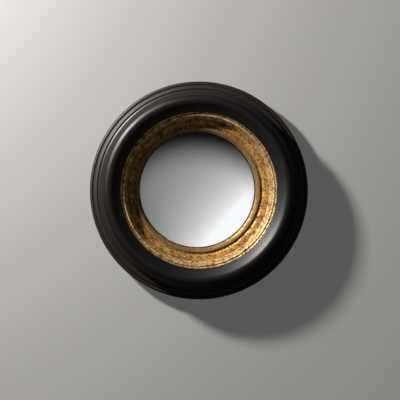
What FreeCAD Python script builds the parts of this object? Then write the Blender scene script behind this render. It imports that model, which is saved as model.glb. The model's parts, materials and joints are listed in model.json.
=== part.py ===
import FreeCAD, Part
import math
import os
from types import SimpleNamespace

import Sketcher

# A small convex butler's mirror, hung on a wall.
# The wall is the plane Y = 0, the glass faces -Y and +Z is up. The origin is the point of the
# wall behind the centre of the turned frame. Millimetres and degrees throughout.
# "Height" below means the distance of a point from the wall, so it is measured along -Y.

FreeCAD.newDocument("ButlersMirror")
doc = FreeCAD.ActiveDocument

# ---------------------------------------------------------------- driving dimensions
# Radial widths are chained outwards from the glass, heights forwards from the wall.
DIMENSIONS = [
    ("wall_gap", 4.5, "frame back to the wall, the height of the bumper pads"),
    ("sight_radius", 71.9, "visible radius of the glass"),
    ("sight_shift_x", -2.3, "the sight opening is bored off the frame's centre: sideways"),
    ("sight_shift_z", 0.7, "and upwards"),
    ("dome_radius", 230.0, "radius of the front of the glass"),
    ("glass_thickness", 3.0, "thickness of the bent glass"),
    ("glass_rebate_width", 3.0, "glass hidden behind the slip"),
    ("glass_clearance", 0.2, "glass edge to the slip's skirt"),
    ("glass_seating", 0.05, "glass to the slip's rebate floor"),
    ("silver_thickness", 0.06, "silver film on the hollow side of the glass"),
    ("paint_thickness", 0.12, "grey paint that covers the silver"),
    ("coating_gap", 0.02, "glass to silver, and silver to paint"),
    ("slip_bead_width", 4.1, "width of the gilt bead round the glass"),
    ("slip_bead_rise", 2.2, "bead above the slip's rebate floor"),
    ("slip_bead_side", 0.7, "straight side of the bead below its rounding"),
    ("slip_bead_curve", 2.5, "radius of the bead's rounding"),
    ("slip_flange_width", 3.2, "flange of the slip behind the gilt ring"),
    ("slip_flange_thickness", 2.0, "thickness of that flange"),
    ("slip_groove_width", 1.2, "dark groove between the bead and the gilt ring"),
    ("slip_fit", 0.3, "slip to the bore that holds it, on the radius"),
    ("arris_width", 1.4, "narrow flat fillet at the foot of the cove"),
    ("arris_rise", 0.2, "that fillet above the slip's rebate floor"),
    ("arris_step", 0.4, "foot of the cove above that fillet"),
    ("cove_radius", 24.2, "radius of the gilt cove"),
    ("cove_foot_tilt", 22.0, "slope of the cove at its foot"),
    ("cove_head_tilt", 68.0, "slope of the cove at its head"),
    ("cove_ledge", 0.7, "quirk above the cove"),
    ("lip_wall", 3.4, "wall from the quirk up to the gilt lip"),
    ("lip_width", 2.4, "width of the gilt lip"),
    ("lip_rise", 0.8, "outer edge of the lip above its inner edge"),
    ("lip_curve", 1.5, "radius of the lip's rounding"),
    ("nose_fit", 0.1, "gilt lip to the black nose"),
    ("nose_stand", 0.1, "black nose above the gilt lip"),
    ("nose_depth", 5.3, "depth of the black nose over its ledge"),
    ("ledge_width", 6.4, "ledge of the frame that the gilt ring seats on"),
    ("ring_fit", 0.2, "gilt ring to the frame's rebate, on the radius"),
    ("ring_seating", 0.05, "gilt ring to the frame's ledge"),
    ("ogee_radius", 25.9, "hollow of the black slope inside the crest"),
    ("ogee_foot_tilt", 22.0, "slope of that hollow at the nose"),
    ("crest_inner_tilt", 38.0, "slope where the hollow meets the crest"),
    ("crest_radius", 10.0, "rounding of the crest"),
    ("crest_outer_tilt", 72.0, "slope of the steep outer side"),
    ("fillet_flat", 0.56, "flat at the foot of the steep side"),
    ("fillet_height", 16.1, "foot of the steep side above the frame's back"),
    ("fillet_fall", 0.25, "fall of that flat"),
    ("fillet_round", 0.95, "radius of the fillet's rounding"),
    ("fillet_round_width", 0.85, "width of the rounding"),
    ("fillet_round_fall", 0.95, "fall of the rounding"),
    ("groove_inner_width", 0.7, "inner wall of the turned groove"),
    ("groove_outer_width", 1.2, "outer wall of the turned groove"),
    ("groove_height", 13.2, "bottom of the groove above the frame's back"),
    ("ovolo_height", 14.3, "top of the ovolo above the frame's back"),
    ("ovolo_width", 4.6, "width of the ovolo"),
    ("ovolo_foot", 10.9, "foot of the ovolo above the frame's back"),
    ("ovolo_radius", 6.2, "rounding of the ovolo"),
    ("quirk_width", 0.55, "half the width of the quirk beside the edge bead"),
    ("quirk_height", 10.1, "bottom of the quirk above the frame's back"),
    ("edge_bead_radius", 3.0, "rounding of the outermost bead"),
    ("edge_side", 8.0, "straight outer side of the frame"),
    ("back_arris", 1.0, "chamfer of the outer back edge"),
    ("board_thickness", 3.0, "hardboard backing disc"),
    ("board_recess", 0.1, "board below the frame's back"),
    ("board_clearance", 0.3, "board edge to its rebate"),
    ("board_bearing", 8.7, "ledge of the gilt ring that the board lies on"),
    ("packing_thickness", 8.35, "packing from the board to the coated glass rim"),
    ("packing_width", 9.6, "radial width of the packing"),
    ("packing_clearance", 0.6, "packing to the bore round it"),
    ("packing_seating", 0.05, "packing to the coated rim"),
    ("button_count", 6, "turn buttons round the board"),
    ("button_reach", 14.0, "pivot to the centre of the button's tip"),
    ("button_boss_radius", 4.6, "wide end of a button"),
    ("button_tip_radius", 2.6, "narrow end of a button"),
    ("button_thickness", 1.2, "steel of a button"),
    ("button_lift", 0.05, "button to the frame's back"),
    ("button_head_gap", 0.1, "button to its screw's head"),
    ("shank_radius", 1.55, "shank of every wood screw"),
    ("shank_clearance", 0.05, "shank to the hole of the piece it holds"),
    ("pilot_clearance", 0.02, "shank to its hole in the wood"),
    ("button_shank_length", 12.0, "shank of a button screw in the wood"),
    ("button_head_radius", 3.1, "head of a button screw"),
    ("button_head_height", 1.7, "height of that head"),
    ("head_dome_radius", 4.5, "rounding of the screw heads"),
    ("slot_width", 0.8, "driver slot"),
    ("slot_depth", 0.7, "depth of the slot"),
    ("strap_width", 14.0, "width of the hanger strap"),
    ("strap_thickness", 2.0, "two layers of folded steel"),
    ("strap_margin", 7.0, "edge of the gilt ring's rebate to the lower strap screw"),
    ("strap_pitch", 7.0, "lower to upper strap screw"),
    ("strap_shoulder", 2.6, "upper strap screw to the strap's shoulder"),
    ("strap_eye_rise", 6.2, "upper strap screw to the eye"),
    ("strap_eye_width", 9.6, "width of the eye"),
    ("strap_sheet", 1.0, "steel round the eye"),
    ("eye_clearance", 0.08, "ring wire to the eye"),
    ("strap_shank_length", 12.0, "shank of a strap screw in the wood"),
    ("strap_head_radius", 2.9, "head of a strap screw"),
    ("strap_head_height", 1.3, "height of that head"),
    ("ring_wire_radius", 1.1, "wire of the hanging ring"),
    ("ring_corner_radius", 2.0, "corner of the ring's D"),
    ("ring_bow_radius", 7.5, "bow of the ring's D"),
    ("bumper_radius", 5.0, "bumper pad"),
    ("bumper_edge", 0.8, "rounding of the pad's wall face"),
    ("bumper_spread", 45.0, "each bumper from the bottom centre, in degrees"),
]

sheet = doc.addObject("Spreadsheet::Sheet", "Sizes")
for row, (alias, value, meaning) in enumerate(DIMENSIONS, start=1):
    sheet.set(f"A{row}", alias)
    sheet.set(f"B{row}", str(value))
    sheet.setAlias(f"B{row}", alias)
    sheet.set(f"C{row}", meaning)
doc.recompute()


class Size:
    """A length or an angle: its present value, and the sheet formula that gives it."""

    def __init__(self, value, formula):
        self.value = float(value)
        self.formula = formula

    def __add__(self, other):
        other = as_size(other)
        return Size(self.value + other.value, f"({self.formula} + {other.formula})")

    def __sub__(self, other):
        other = as_size(other)
        return Size(self.value - other.value, f"({self.formula} - {other.formula})")

    def __mul__(self, other):
        other = as_size(other)
        return Size(self.value * other.value, f"({self.formula} * {other.formula})")

    def __truediv__(self, other):
        other = as_size(other)
        return Size(self.value / other.value, f"({self.formula} / {other.formula})")

    def __neg__(self):
        return Size(-self.value, f"(0 - {self.formula})")


def as_size(number):
    return number if isinstance(number, Size) else Size(number, repr(number))


def sine(angle):
    return Size(math.sin(math.radians(angle.value)), f"sin({angle.formula})")


def cosine(angle):
    return Size(math.cos(math.radians(angle.value)), f"cos({angle.formula})")


def root(square):
    return Size(math.sqrt(square.value), f"sqrt({square.formula})")


s = SimpleNamespace(**{alias: Size(value, f"Sizes.{alias}") for alias, value, _ in DIMENSIONS})
ZERO = as_size(0)

# ---------------------------------------------------------------- radii, from the glass outwards
slip_outer = s.sight_radius + s.slip_bead_width
gilt_bore = slip_outer + s.slip_groove_width
arris_outer = gilt_bore + s.arris_width
flange_outer = slip_outer + s.slip_flange_width
well_radius = flange_outer + s.slip_fit
glass_radius = s.sight_radius + s.glass_rebate_width
skirt_bore = glass_radius + s.glass_clearance
cove_foot = arris_outer + s.arris_step
cove_head = cove_foot + s.cove_radius * (sine(s.cove_head_tilt) - sine(s.cove_foot_tilt))
lip_inner = cove_head + s.cove_ledge
lip_outer = lip_inner + s.lip_width
nose_radius = lip_outer + s.nose_fit
frame_rebate = nose_radius + s.ledge_width
gilt_outer = frame_rebate - s.ring_fit
board_rebate = well_radius + s.board_bearing
ogee_head = nose_radius + s.ogee_radius * (sine(s.crest_inner_tilt) - sine(s.ogee_foot_tilt))
crest_centre = ogee_head + s.crest_radius * sine(s.crest_inner_tilt)
steep_head = crest_centre + s.crest_radius * sine(s.crest_outer_tilt)

# ---------------------------------------------------------------- heights above the wall
frame_back = s.wall_gap
board_back = frame_back + s.board_recess
board_front = board_back + s.board_thickness
coating_rim = board_front + s.packing_thickness + s.packing_seating
glass_back_radius = s.dome_radius - s.glass_thickness
silver_front_radius = glass_back_radius - s.coating_gap
silver_back_radius = silver_front_radius - s.silver_thickness
paint_front_radius = silver_back_radius - s.coating_gap
paint_back_radius = paint_front_radius - s.paint_thickness


def dome_reach(radius, out):
    """How far along its axis a sphere lies from its centre, at a distance out from the axis."""
    return root(radius * radius - out * out)


dome_centre = coating_rim - dome_reach(paint_back_radius, glass_radius)
slip_back = dome_centre + dome_reach(glass_back_radius, glass_radius)
slip_floor = dome_centre + dome_reach(s.dome_radius, s.sight_radius) + s.glass_seating
bead_top = slip_floor + s.slip_bead_rise
flange_front = slip_back + s.slip_flange_thickness
arris_height = slip_floor + s.arris_rise
cove_low = arris_height + s.arris_step
cove_high = cove_low + s.cove_radius * (cosine(s.cove_foot_tilt) - cosine(s.cove_head_tilt))
lip_low = cove_high + s.lip_wall
lip_high = lip_low + s.lip_rise
nose_high = lip_high + s.nose_stand
nose_low = nose_high - s.nose_depth
ogee_high = nose_high + s.ogee_radius * (cosine(s.ogee_foot_tilt) - cosine(s.crest_inner_tilt))
crest_low = ogee_high - s.crest_radius * cosine(s.crest_inner_tilt)
steep_high = crest_low + s.crest_radius * cosine(s.crest_outer_tilt)
steep_low = frame_back + s.fillet_height
steep_run = (steep_high - steep_low) * cosine(s.crest_outer_tilt) / sine(s.crest_outer_tilt)

# The outer steps follow from the foot of the steep side, which ends the chain at the rim.
fillet_inner = steep_head + steep_run
fillet_edge = fillet_inner + s.fillet_flat
fillet_outer = fillet_edge + s.fillet_round_width
groove_radius = fillet_outer + s.groove_inner_width
ovolo_inner = groove_radius + s.groove_outer_width
ovolo_outer = ovolo_inner + s.ovolo_width
quirk_radius = ovolo_outer + s.quirk_width
bead_inner = quirk_radius + s.quirk_width
frame_radius = bead_inner + s.edge_bead_radius

# ---------------------------------------------------------------- places of the hardware
pivot_radius = (board_rebate + gilt_outer) / 2
first_button = as_size(90) + as_size(180) / s.button_count
button_back = frame_back - s.button_lift - s.button_thickness
button_head_under = button_back - s.button_head_gap
hole_radius = s.shank_radius + s.shank_clearance
pilot_radius = s.shank_radius + s.pilot_clearance
lower_screw = frame_rebate + s.strap_margin
upper_screw = lower_screw + s.strap_pitch
eye_radius = s.ring_wire_radius + s.eye_clearance
eye_outer = eye_radius + s.strap_sheet
eye_rise = upper_screw + s.strap_eye_rise
eye_height = frame_back - eye_outer
strap_back = frame_back - s.strap_thickness
bumper_place = (frame_rebate + frame_radius) / 2


# ---------------------------------------------------------------- drawing helpers
def origin_item(body, role):
    return next(item for item in body.Origin.OriginFeatures if item.Role == role)


def new_body(label):
    body = doc.addObject("PartDesign::Body", label)
    body.Label = label
    body.AllowCompound = True
    return body


def new_sketch(body, name, plane="XY_Plane", lift=None, across=None):
    """A sketch on one of the body's own planes, lifted off it and moved across by sheet sizes."""
    sketch = body.newObject("Sketcher::SketchObject", name)
    sketch.AttachmentSupport = (origin_item(body, plane), [""])
    sketch.MapMode = "FlatFace"
    if lift is not None:
        sketch.setExpression("AttachmentOffset.Base.z", lift.formula)
    if across is not None:
        sketch.setExpression("AttachmentOffset.Base.x", across.formula)
    return sketch


def bind(item, name, size):
    setattr(item, name, size.value)
    item.setExpression(name, size.formula)


def fix(sketch, kind, geometry, end, size):
    """Holds one end of an edge at a distance from the sketch's origin."""
    index = sketch.addConstraint(Sketcher.Constraint(kind, -1, 1, geometry, end, size.value))
    sketch.setExpression(f"Constraints[{index}]", size.formula)


def arc_between(start, end, radius, bulge):
    """The short arc of this radius from start to end. It bulges to the left of its travel for 1
    and to the right for -1. Also tells which end of the arc is the start."""
    chord = end - start
    left = FreeCAD.Vector(-chord.y, chord.x, 0).normalize()
    offset = math.sqrt(radius**2 - (chord.Length / 2) ** 2)
    centre = (start + end) / 2 - left * offset * bulge
    first, last = (end, start) if bulge > 0 else (start, end)
    angles = [math.atan2(point.y - centre.y, point.x - centre.x) for point in (first, last)]
    circle = Part.Circle(centre, FreeCAD.Vector(0, 0, 1), radius)
    return Part.ArcOfCircle(circle, *angles), (2, 1) if bulge > 0 else (1, 2)


def draw_outline(sketch, corners):
    """A closed outline. A corner is (x, y) where a straight side leaves it, and
    (x, y, radius, bulge) where an arc does."""
    points = [FreeCAD.Vector(corner[0].value, corner[1].value, 0) for corner in corners]
    edges = []
    for number, corner in enumerate(corners):
        start = points[number]
        end = points[(number + 1) % len(points)]
        if len(corner) == 2:
            edges.append((sketch.addGeometry(Part.LineSegment(start, end)), 1, 2))
            continue
        arc, (near, far) = arc_between(start, end, corner[2].value, corner[3])
        index = sketch.addGeometry(arc)
        radius = sketch.addConstraint(Sketcher.Constraint("Radius", index, corner[2].value))
        sketch.setExpression(f"Constraints[{radius}]", corner[2].formula)
        edges.append((index, near, far))
    for number, (edge, near, _) in enumerate(edges):
        last_edge, _, far = edges[number - 1]
        sketch.addConstraint(Sketcher.Constraint("Coincident", last_edge, far, edge, near))
        fix(sketch, "DistanceX", edge, near, corners[number][0])
        fix(sketch, "DistanceY", edge, near, corners[number][1])


def draw_circle(sketch, x, y, radius):
    centre = FreeCAD.Vector(x.value, y.value, 0)
    index = sketch.addGeometry(Part.Circle(centre, FreeCAD.Vector(0, 0, 1), radius.value))
    fix(sketch, "DistanceX", index, 3, x)
    fix(sketch, "DistanceY", index, 3, y)
    rim = sketch.addConstraint(Sketcher.Constraint("Radius", index, radius.value))
    sketch.setExpression(f"Constraints[{rim}]", radius.formula)


def half_section(corners):
    """Corners given as (radius, height above the wall), as they lie in an XY sketch."""
    straight = [(corner[0], -corner[1]) for corner in corners]
    curves = [(corner[2], -corner[3]) if len(corner) > 2 else () for corner in corners]
    return [point + curve for point, curve in zip(straight, curves)]


def turned(body, name, corners, kind="PartDesign::Revolution", lift=None, across=None):
    """Turns a half section, listed anticlockwise, about the Y direction."""
    sketch = new_sketch(body, f"{name}Section", lift=lift, across=across)
    draw_outline(sketch, half_section(corners))
    feature = body.newObject(kind, name)
    feature.Profile = sketch
    feature.ReferenceAxis = (sketch, ["V_Axis"])
    feature.Angle = 360.0
    return feature


def pad(body, name, sketch, length, midplane=False):
    feature = body.newObject("PartDesign::Pad", name)
    feature.Profile = sketch
    feature.Midplane = midplane
    bind(feature, "Length", length)
    return feature


def drill(body, name, sketch, depth):
    """Cuts the sketch forwards, away from the wall."""
    feature = body.newObject("PartDesign::Pocket", name)
    feature.Profile = sketch
    feature.Reversed = True
    bind(feature, "Length", depth)
    return feature


def around(body, name, features, count):
    """Repeats features evenly round the Y axis of the body."""
    pattern = body.newObject("PartDesign::PolarPattern", name)
    pattern.Originals = features
    pattern.Axis = (origin_item(body, "Y_Axis"), [""])
    pattern.Angle = 360.0
    pattern.setExpression("Occurrences", count.formula)
    body.Tip = pattern
    return pattern


def place(body, x=ZERO, z=ZERO, turn=ZERO):
    """Puts a body at a point of the wall, turned about the wall's normal from +X towards +Z."""
    spot = f"create(<<vector>>; {x.formula}; 0; {z.formula})"
    axis = "create(<<vector>>; 0; -1; 0)"
    rotation = f"create(<<rotation>>; {axis}; {turn.formula})"
    body.setExpression("Placement", f"create(<<placement>>; {spot}; {rotation})")


def shift_to_sight(body):
    """Pieces that share the sight opening's centre."""
    place(body, s.sight_shift_x, s.sight_shift_z)


# ---------------------------------------------------------------- black turned frame
frame_ring = new_body("ebonised_frame_ring")
turned(
    frame_ring,
    "FrameRing",
    [
        (frame_rebate, frame_back),
        (frame_radius - s.back_arris, frame_back),
        (frame_radius, frame_back + s.back_arris),
        (frame_radius, frame_back + s.edge_side, s.edge_bead_radius, -1),
        (bead_inner, frame_back + s.edge_side + s.edge_bead_radius),
        (quirk_radius, frame_back + s.quirk_height),
        (ovolo_outer, frame_back + s.ovolo_foot, s.ovolo_radius, -1),
        (ovolo_inner, frame_back + s.ovolo_height),
        (groove_radius, frame_back + s.groove_height),
        (fillet_outer, steep_low - s.fillet_fall - s.fillet_round_fall, s.fillet_round, -1),
        (fillet_edge, steep_low - s.fillet_fall),
        (fillet_inner, steep_low),
        (steep_head, steep_high, s.crest_radius, -1),
        (ogee_head, ogee_high, s.ogee_radius, 1),
        (nose_radius, nose_high),
        (nose_radius, nose_low),
        (frame_rebate, nose_low),
    ],
)
strap_holes = new_sketch(frame_ring, "StrapHoles", "XZ_Plane", lift=frame_back)
draw_circle(strap_holes, ZERO, lower_screw, pilot_radius)
draw_circle(strap_holes, ZERO, upper_screw, pilot_radius)
drill(frame_ring, "StrapPilots", strap_holes, s.strap_shank_length + s.shank_radius)

# ---------------------------------------------------------------- gilt cove ring
# Turned about the frame's centre, then bored about the sight opening's centre.
gilt_ring = new_body("gilt_cove_ring")
core_radius = s.sight_radius
turned(
    gilt_ring,
    "CoveRing",
    [
        (core_radius, board_front),
        (board_rebate, board_front),
        (board_rebate, frame_back),
        (gilt_outer, frame_back),
        (gilt_outer, nose_low - s.ring_seating),
        (lip_outer, nose_low - s.ring_seating),
        (lip_outer, lip_high, s.lip_curve, -1),
        (lip_inner, lip_low),
        (lip_inner, cove_high),
        (cove_head, cove_high, s.cove_radius, 1),
        (cove_foot, cove_low),
        (core_radius, cove_low),
    ],
)
turned(
    gilt_ring,
    "SightBore",
    [
        (ZERO, frame_back),
        (well_radius, frame_back),
        (well_radius, flange_front),
        (gilt_bore, flange_front),
        (gilt_bore, arris_height),
        (arris_outer, arris_height),
        (arris_outer, lip_high),
        (ZERO, lip_high),
    ],
    kind="PartDesign::Groove",
    lift=s.sight_shift_z,
    across=s.sight_shift_x,
)
button_hole = new_sketch(gilt_ring, "ButtonHole", "XZ_Plane", lift=frame_back)
draw_circle(
    button_hole,
    pivot_radius * cosine(first_button),
    pivot_radius * sine(first_button),
    pilot_radius,
)
button_pilot = drill(
    gilt_ring, "ButtonPilot", button_hole, s.button_shank_length + s.shank_radius
)
around(gilt_ring, "ButtonPilots", [button_pilot], s.button_count)

# ---------------------------------------------------------------- gilt sight slip
slip = new_body("gilt_sight_slip")
turned(
    slip,
    "Slip",
    [
        (skirt_bore, slip_back),
        (flange_outer, slip_back),
        (flange_outer, flange_front),
        (slip_outer, flange_front),
        (slip_outer, slip_floor + s.slip_bead_side, s.slip_bead_curve, -1),
        (slip_outer - s.slip_bead_width / 2, bead_top, s.slip_bead_curve, -1),
        (s.sight_radius, slip_floor + s.slip_bead_side),
        (s.sight_radius, slip_floor),
        (skirt_bore, slip_floor),
    ],
)
shift_to_sight(slip)


# ---------------------------------------------------------------- domed glass and its coats
def domed_shell(label, front, back):
    """A domed disc between two spheres that share a centre."""
    body = new_body(label)
    turned(
        body,
        "Dome",
        [
            (ZERO, dome_centre + back, back, 1),
            (glass_radius, dome_centre + dome_reach(back, glass_radius)),
            (glass_radius, dome_centre + dome_reach(front, glass_radius), front, -1),
            (ZERO, dome_centre + front),
        ],
    )
    shift_to_sight(body)


domed_shell("convex_glass", s.dome_radius, glass_back_radius)
domed_shell("silvering", silver_front_radius, silver_back_radius)
domed_shell("backing_paint", paint_front_radius, paint_back_radius)

# ---------------------------------------------------------------- packing and backing board
packing = new_body("packing_ring")
packing_outer = well_radius - s.packing_clearance
packing_front = board_front + s.packing_thickness
turned(
    packing,
    "Packing",
    [
        (packing_outer - s.packing_width, board_front),
        (packing_outer, board_front),
        (packing_outer, packing_front),
        (packing_outer - s.packing_width, packing_front),
    ],
)
shift_to_sight(packing)

board = new_body("backing_board")
board_radius = board_rebate - s.board_clearance
turned(
    board,
    "Board",
    [
        (ZERO, board_back),
        (board_radius, board_back),
        (board_radius, board_front),
        (ZERO, board_front),
    ],
)

# ---------------------------------------------------------------- turn buttons and their screws
taper = (s.button_boss_radius - s.button_tip_radius) / s.button_reach
taper_run = root(as_size(1) - taper * taper)


def turn_button(number):
    """A flat button, wide at its pivot, with its tip pointing at the mirror's centre."""
    body = new_body(f"turn_button_{number}")
    boss = s.button_boss_radius
    tip = s.button_tip_radius
    boss_touch = pivot_radius - boss * taper
    tip_touch = pivot_radius - s.button_reach - tip * taper
    outline = new_sketch(body, "Outline", "XZ_Plane", lift=button_back)
    draw_outline(
        outline,
        [
            (pivot_radius + boss, ZERO, boss, -1),
            (boss_touch, boss * taper_run),
            (tip_touch, tip * taper_run, tip, -1),
            (tip_touch, -(tip * taper_run)),
            (boss_touch, -(boss * taper_run), boss, -1),
        ],
    )
    draw_circle(outline, pivot_radius, ZERO, hole_radius)
    pad(body, "Blank", outline, s.button_thickness)
    place(body, turn=first_button + as_size(360 * (number - 1)) / s.button_count)


for number in range(1, int(s.button_count.value) + 1):
    turn_button(number)


def standing_screw(body, axis_at, under_head, head_radius, head_height, shank_length):
    """A slotted dome head wood screw that stands at axis_at along X, point away from the wall."""
    top = under_head - head_height
    dome = s.head_dome_radius
    end = frame_back + shank_length
    screw = turned(
        body,
        "Screw",
        [
            (ZERO, top, dome, -1),
            (head_radius, top + dome - dome_reach(dome, head_radius)),
            (head_radius, under_head),
            (s.shank_radius, under_head),
            (s.shank_radius, end - s.shank_radius),
            (ZERO, end),
        ],
        across=axis_at,
    )
    slot = new_sketch(body, "Slot", "XZ_Plane", lift=top, across=axis_at)
    half = s.slot_width / 2
    draw_outline(
        slot,
        [
            (-(head_radius * 2), -half),
            (head_radius * 2, -half),
            (head_radius * 2, half),
            (-(head_radius * 2), half),
        ],
    )
    return [screw, drill(body, "DriverSlot", slot, s.slot_depth)]


button_screws = new_body("turn_button_screws")
button_screw = standing_screw(
    button_screws,
    pivot_radius,
    button_head_under,
    s.button_head_radius,
    s.button_head_height,
    s.button_shank_length,
)
around(button_screws, "ButtonScrews", button_screw, s.button_count)
place(button_screws, turn=first_button)

# ---------------------------------------------------------------- hanger at the top centre
strap = new_body("hanger_strap")
half_strap = s.strap_width / 2
half_eye = s.strap_eye_width / 2
shoulder_low = upper_screw + s.strap_shoulder
shoulder_high = shoulder_low + (half_strap - half_eye) / 2
blank = new_sketch(strap, "StrapOutline", "XZ_Plane", lift=strap_back)
draw_outline(
    blank,
    [
        (-half_strap, lower_screw, half_strap, -1),
        (ZERO, lower_screw - half_strap, half_strap, -1),
        (half_strap, lower_screw),
        (half_strap, shoulder_low),
        (half_eye, shoulder_high),
        (half_eye, eye_rise),
        (-half_eye, eye_rise),
        (-half_eye, shoulder_high),
        (-half_strap, shoulder_low),
    ],
)
draw_circle(blank, ZERO, lower_screw, hole_radius)
draw_circle(blank, ZERO, upper_screw, hole_radius)
pad(strap, "StrapPlate", blank, s.strap_thickness)
eye = new_sketch(strap, "EyeOutline", "YZ_Plane")
draw_circle(eye, -eye_height, eye_rise, eye_outer)
pad(strap, "Eye", eye, s.strap_eye_width, midplane=True)
eye_bore = new_sketch(strap, "EyeBoreOutline", "YZ_Plane")
draw_circle(eye_bore, -eye_height, eye_rise, eye_radius)
bore = strap.newObject("PartDesign::Pocket", "EyeBore")
bore.Profile = eye_bore
bore.Midplane = True
bind(bore, "Length", s.strap_eye_width * 2)

hanger_ring = new_body("hanger_ring")
half_bar = s.ring_bow_radius - s.ring_corner_radius
corner_top = eye_rise + s.ring_corner_radius
path = new_sketch(hanger_ring, "RingPath", "XZ_Plane", lift=eye_height)
draw_outline(
    path,
    [
        (ZERO, eye_rise),
        (half_bar, eye_rise, s.ring_corner_radius, -1),
        (s.ring_bow_radius, corner_top, s.ring_bow_radius, -1),
        (ZERO, corner_top + s.ring_bow_radius, s.ring_bow_radius, -1),
        (-s.ring_bow_radius, corner_top, s.ring_corner_radius, -1),
        (-half_bar, eye_rise),
    ],
)
wire = new_sketch(hanger_ring, "WireSection", "YZ_Plane")
draw_circle(wire, -eye_height, eye_rise, s.ring_wire_radius)
bent_wire = hanger_ring.newObject("PartDesign::AdditivePipe", "BentWire")
bent_wire.Profile = wire
bent_wire.Spine = (path, [])
bent_wire.Mode = "Standard"

# The strap's screws stand along +X of their body, which is turned up to the top centre.
hanger_screws = new_body("hanger_screws")
for axis_at in (lower_screw, upper_screw):
    standing_screw(
        hanger_screws,
        axis_at,
        strap_back,
        s.strap_head_radius,
        s.strap_head_height,
        s.strap_shank_length,
    )
place(hanger_screws, turn=as_size(90))


# ---------------------------------------------------------------- wall bumpers
def wall_bumper(label, side):
    """A round pad on the frame's back, beside the bottom centre."""
    body = new_body(label)
    turned(
        body,
        "Pad",
        [
            (ZERO, ZERO),
            (s.bumper_radius - s.bumper_edge, ZERO, s.bumper_edge, -1),
            (s.bumper_radius, s.bumper_edge),
            (s.bumper_radius, frame_back),
            (ZERO, frame_back),
        ],
    )
    place(
        body,
        bumper_place * sine(s.bumper_spread) * side,
        -(bumper_place * cosine(s.bumper_spread)),
    )


wall_bumper("wall_bumper_left", -1)
wall_bumper("wall_bumper_right", 1)

# ---------------------------------------------------------------- check and write the pieces
doc.recompute()
for item in doc.Objects:
    if "Invalid" in item.State or "Error" in item.State:
        raise RuntimeError(f"{item.Label} failed: {item.State}")

bodies = [item for item in doc.Objects if item.TypeId == "PartDesign::Body"]
for body in bodies:
    if body.Shape.isNull() or not body.Shape.isValid():
        raise RuntimeError(f"{body.Label} has no valid shape")

os.makedirs("parts", exist_ok=True)
for body in bodies:
    body.Shape.exportStep(f"parts/{body.Label}.step")
    solids = len(body.Shape.Solids)
    print(f"{body.Label}: {solids} solid(s), {body.Shape.Volume:.1f} cubic mm")
print(f"outer diameter {frame_radius.value * 2:.2f}, crest {(crest_low + s.crest_radius).value:.2f}")
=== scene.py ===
import json
import math
import random

import bmesh
import bpy
from mathutils import Matrix, Vector


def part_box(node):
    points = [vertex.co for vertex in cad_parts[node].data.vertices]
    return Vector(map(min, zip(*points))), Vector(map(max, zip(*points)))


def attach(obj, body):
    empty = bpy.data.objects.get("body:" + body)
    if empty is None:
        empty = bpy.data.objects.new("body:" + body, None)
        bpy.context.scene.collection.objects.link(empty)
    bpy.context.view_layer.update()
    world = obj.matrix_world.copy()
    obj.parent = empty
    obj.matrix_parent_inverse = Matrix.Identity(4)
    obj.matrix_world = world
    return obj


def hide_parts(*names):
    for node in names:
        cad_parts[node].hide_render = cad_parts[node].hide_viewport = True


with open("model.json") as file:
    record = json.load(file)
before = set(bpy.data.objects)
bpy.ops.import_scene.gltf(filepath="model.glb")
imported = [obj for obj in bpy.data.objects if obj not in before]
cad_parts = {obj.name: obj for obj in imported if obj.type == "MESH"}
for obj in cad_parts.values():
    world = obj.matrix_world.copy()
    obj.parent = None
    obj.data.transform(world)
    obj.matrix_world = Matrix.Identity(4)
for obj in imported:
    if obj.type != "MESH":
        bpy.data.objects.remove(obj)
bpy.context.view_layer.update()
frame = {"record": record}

# A small convex butler's mirror on a wall. The wall is the plane Y = 0, the glass faces -Y and
# +Z is up. Sections are written in millimetres as (radius, height above the wall).
MM = 0.001
ROUNDED = -1
HOLLOW = 1


def reach(node, corner, axis):
    """One side of a CAD node's box, in millimetres."""
    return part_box(node)[corner][axis] / MM


# ---------------------------------------------------------------- sizes
RIM = reach("ebonised_frame_ring", 1, 0)
FRAME_BACK = -reach("ebonised_frame_ring", 1, 1)
BACK_ARRIS = 1.0
EDGE_SIDE = 8.0
EDGE_BEAD = 3.4
QUIRK_HALF = 0.55
QUIRK_FLOOR = FRAME_BACK + 10.1
OVOLO_FOOT = FRAME_BACK + 10.9
OVOLO_TOP = FRAME_BACK + 14.3
OVOLO_WIDTH = 4.6
OVOLO_CURVE = 8.5
GROOVE_OUTER = 1.2
GROOVE_INNER = 0.35
GROOVE_FLOOR = FRAME_BACK + 13.2
FILLET_RISE = 1.15
FILLET_CURVE = 7.0
FILLET_WIDTH = 1.95
FILLET_TOP = FRAME_BACK + 16.0
STEEP_RUN = 5.4
STEEP_TOP = FRAME_BACK + 34.32
CREST_RUN = 11.8
CREST_CURVE = 7.93
OGEE_RUN = 9.8
OGEE_TOP = FRAME_BACK + 38.6
OGEE_CURVE = 52.0
NOSE_TOP = FRAME_BACK + 33.1
NOSE_DEPTH = 4.15
LEDGE_WIDTH = 6.4

nose_radius = RIM - EDGE_BEAD - 2 * QUIRK_HALF - OVOLO_WIDTH - GROOVE_OUTER - GROOVE_INNER
nose_radius -= FILLET_WIDTH + STEEP_RUN + CREST_RUN + OGEE_RUN

RING_FIT = 0.2
RING_SEATING = 0.05
NOSE_FIT = 0.1
LIP_TOP = NOSE_TOP - 0.6
LIP_WIDTH = 1.65
LIP_EDGE = 0.2
LIP_RISE = 2.2
BEAD_QUIRK = 0.14
RIDGE_WIDTH = 2.45
RIDGE_FOOT = LIP_TOP - 2.3
RIDGE_CURVE = 2.0
COVE_RUN = 4.7
COVE_RISE = 11.3
COVE_CURVE = 45.0
SHELF_WIDTH = 3.8
SHELF_FALL = 0.8
TORUS_CURVE = 6.5
ARRIS_TOP = 21.3
ARRIS_WIDTH = 0.9
ARRIS_QUIRK = 0.4
BOARD_REBATE = 88.2
BOARD_FRONT = -reach("backing_board", 0, 1)

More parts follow.
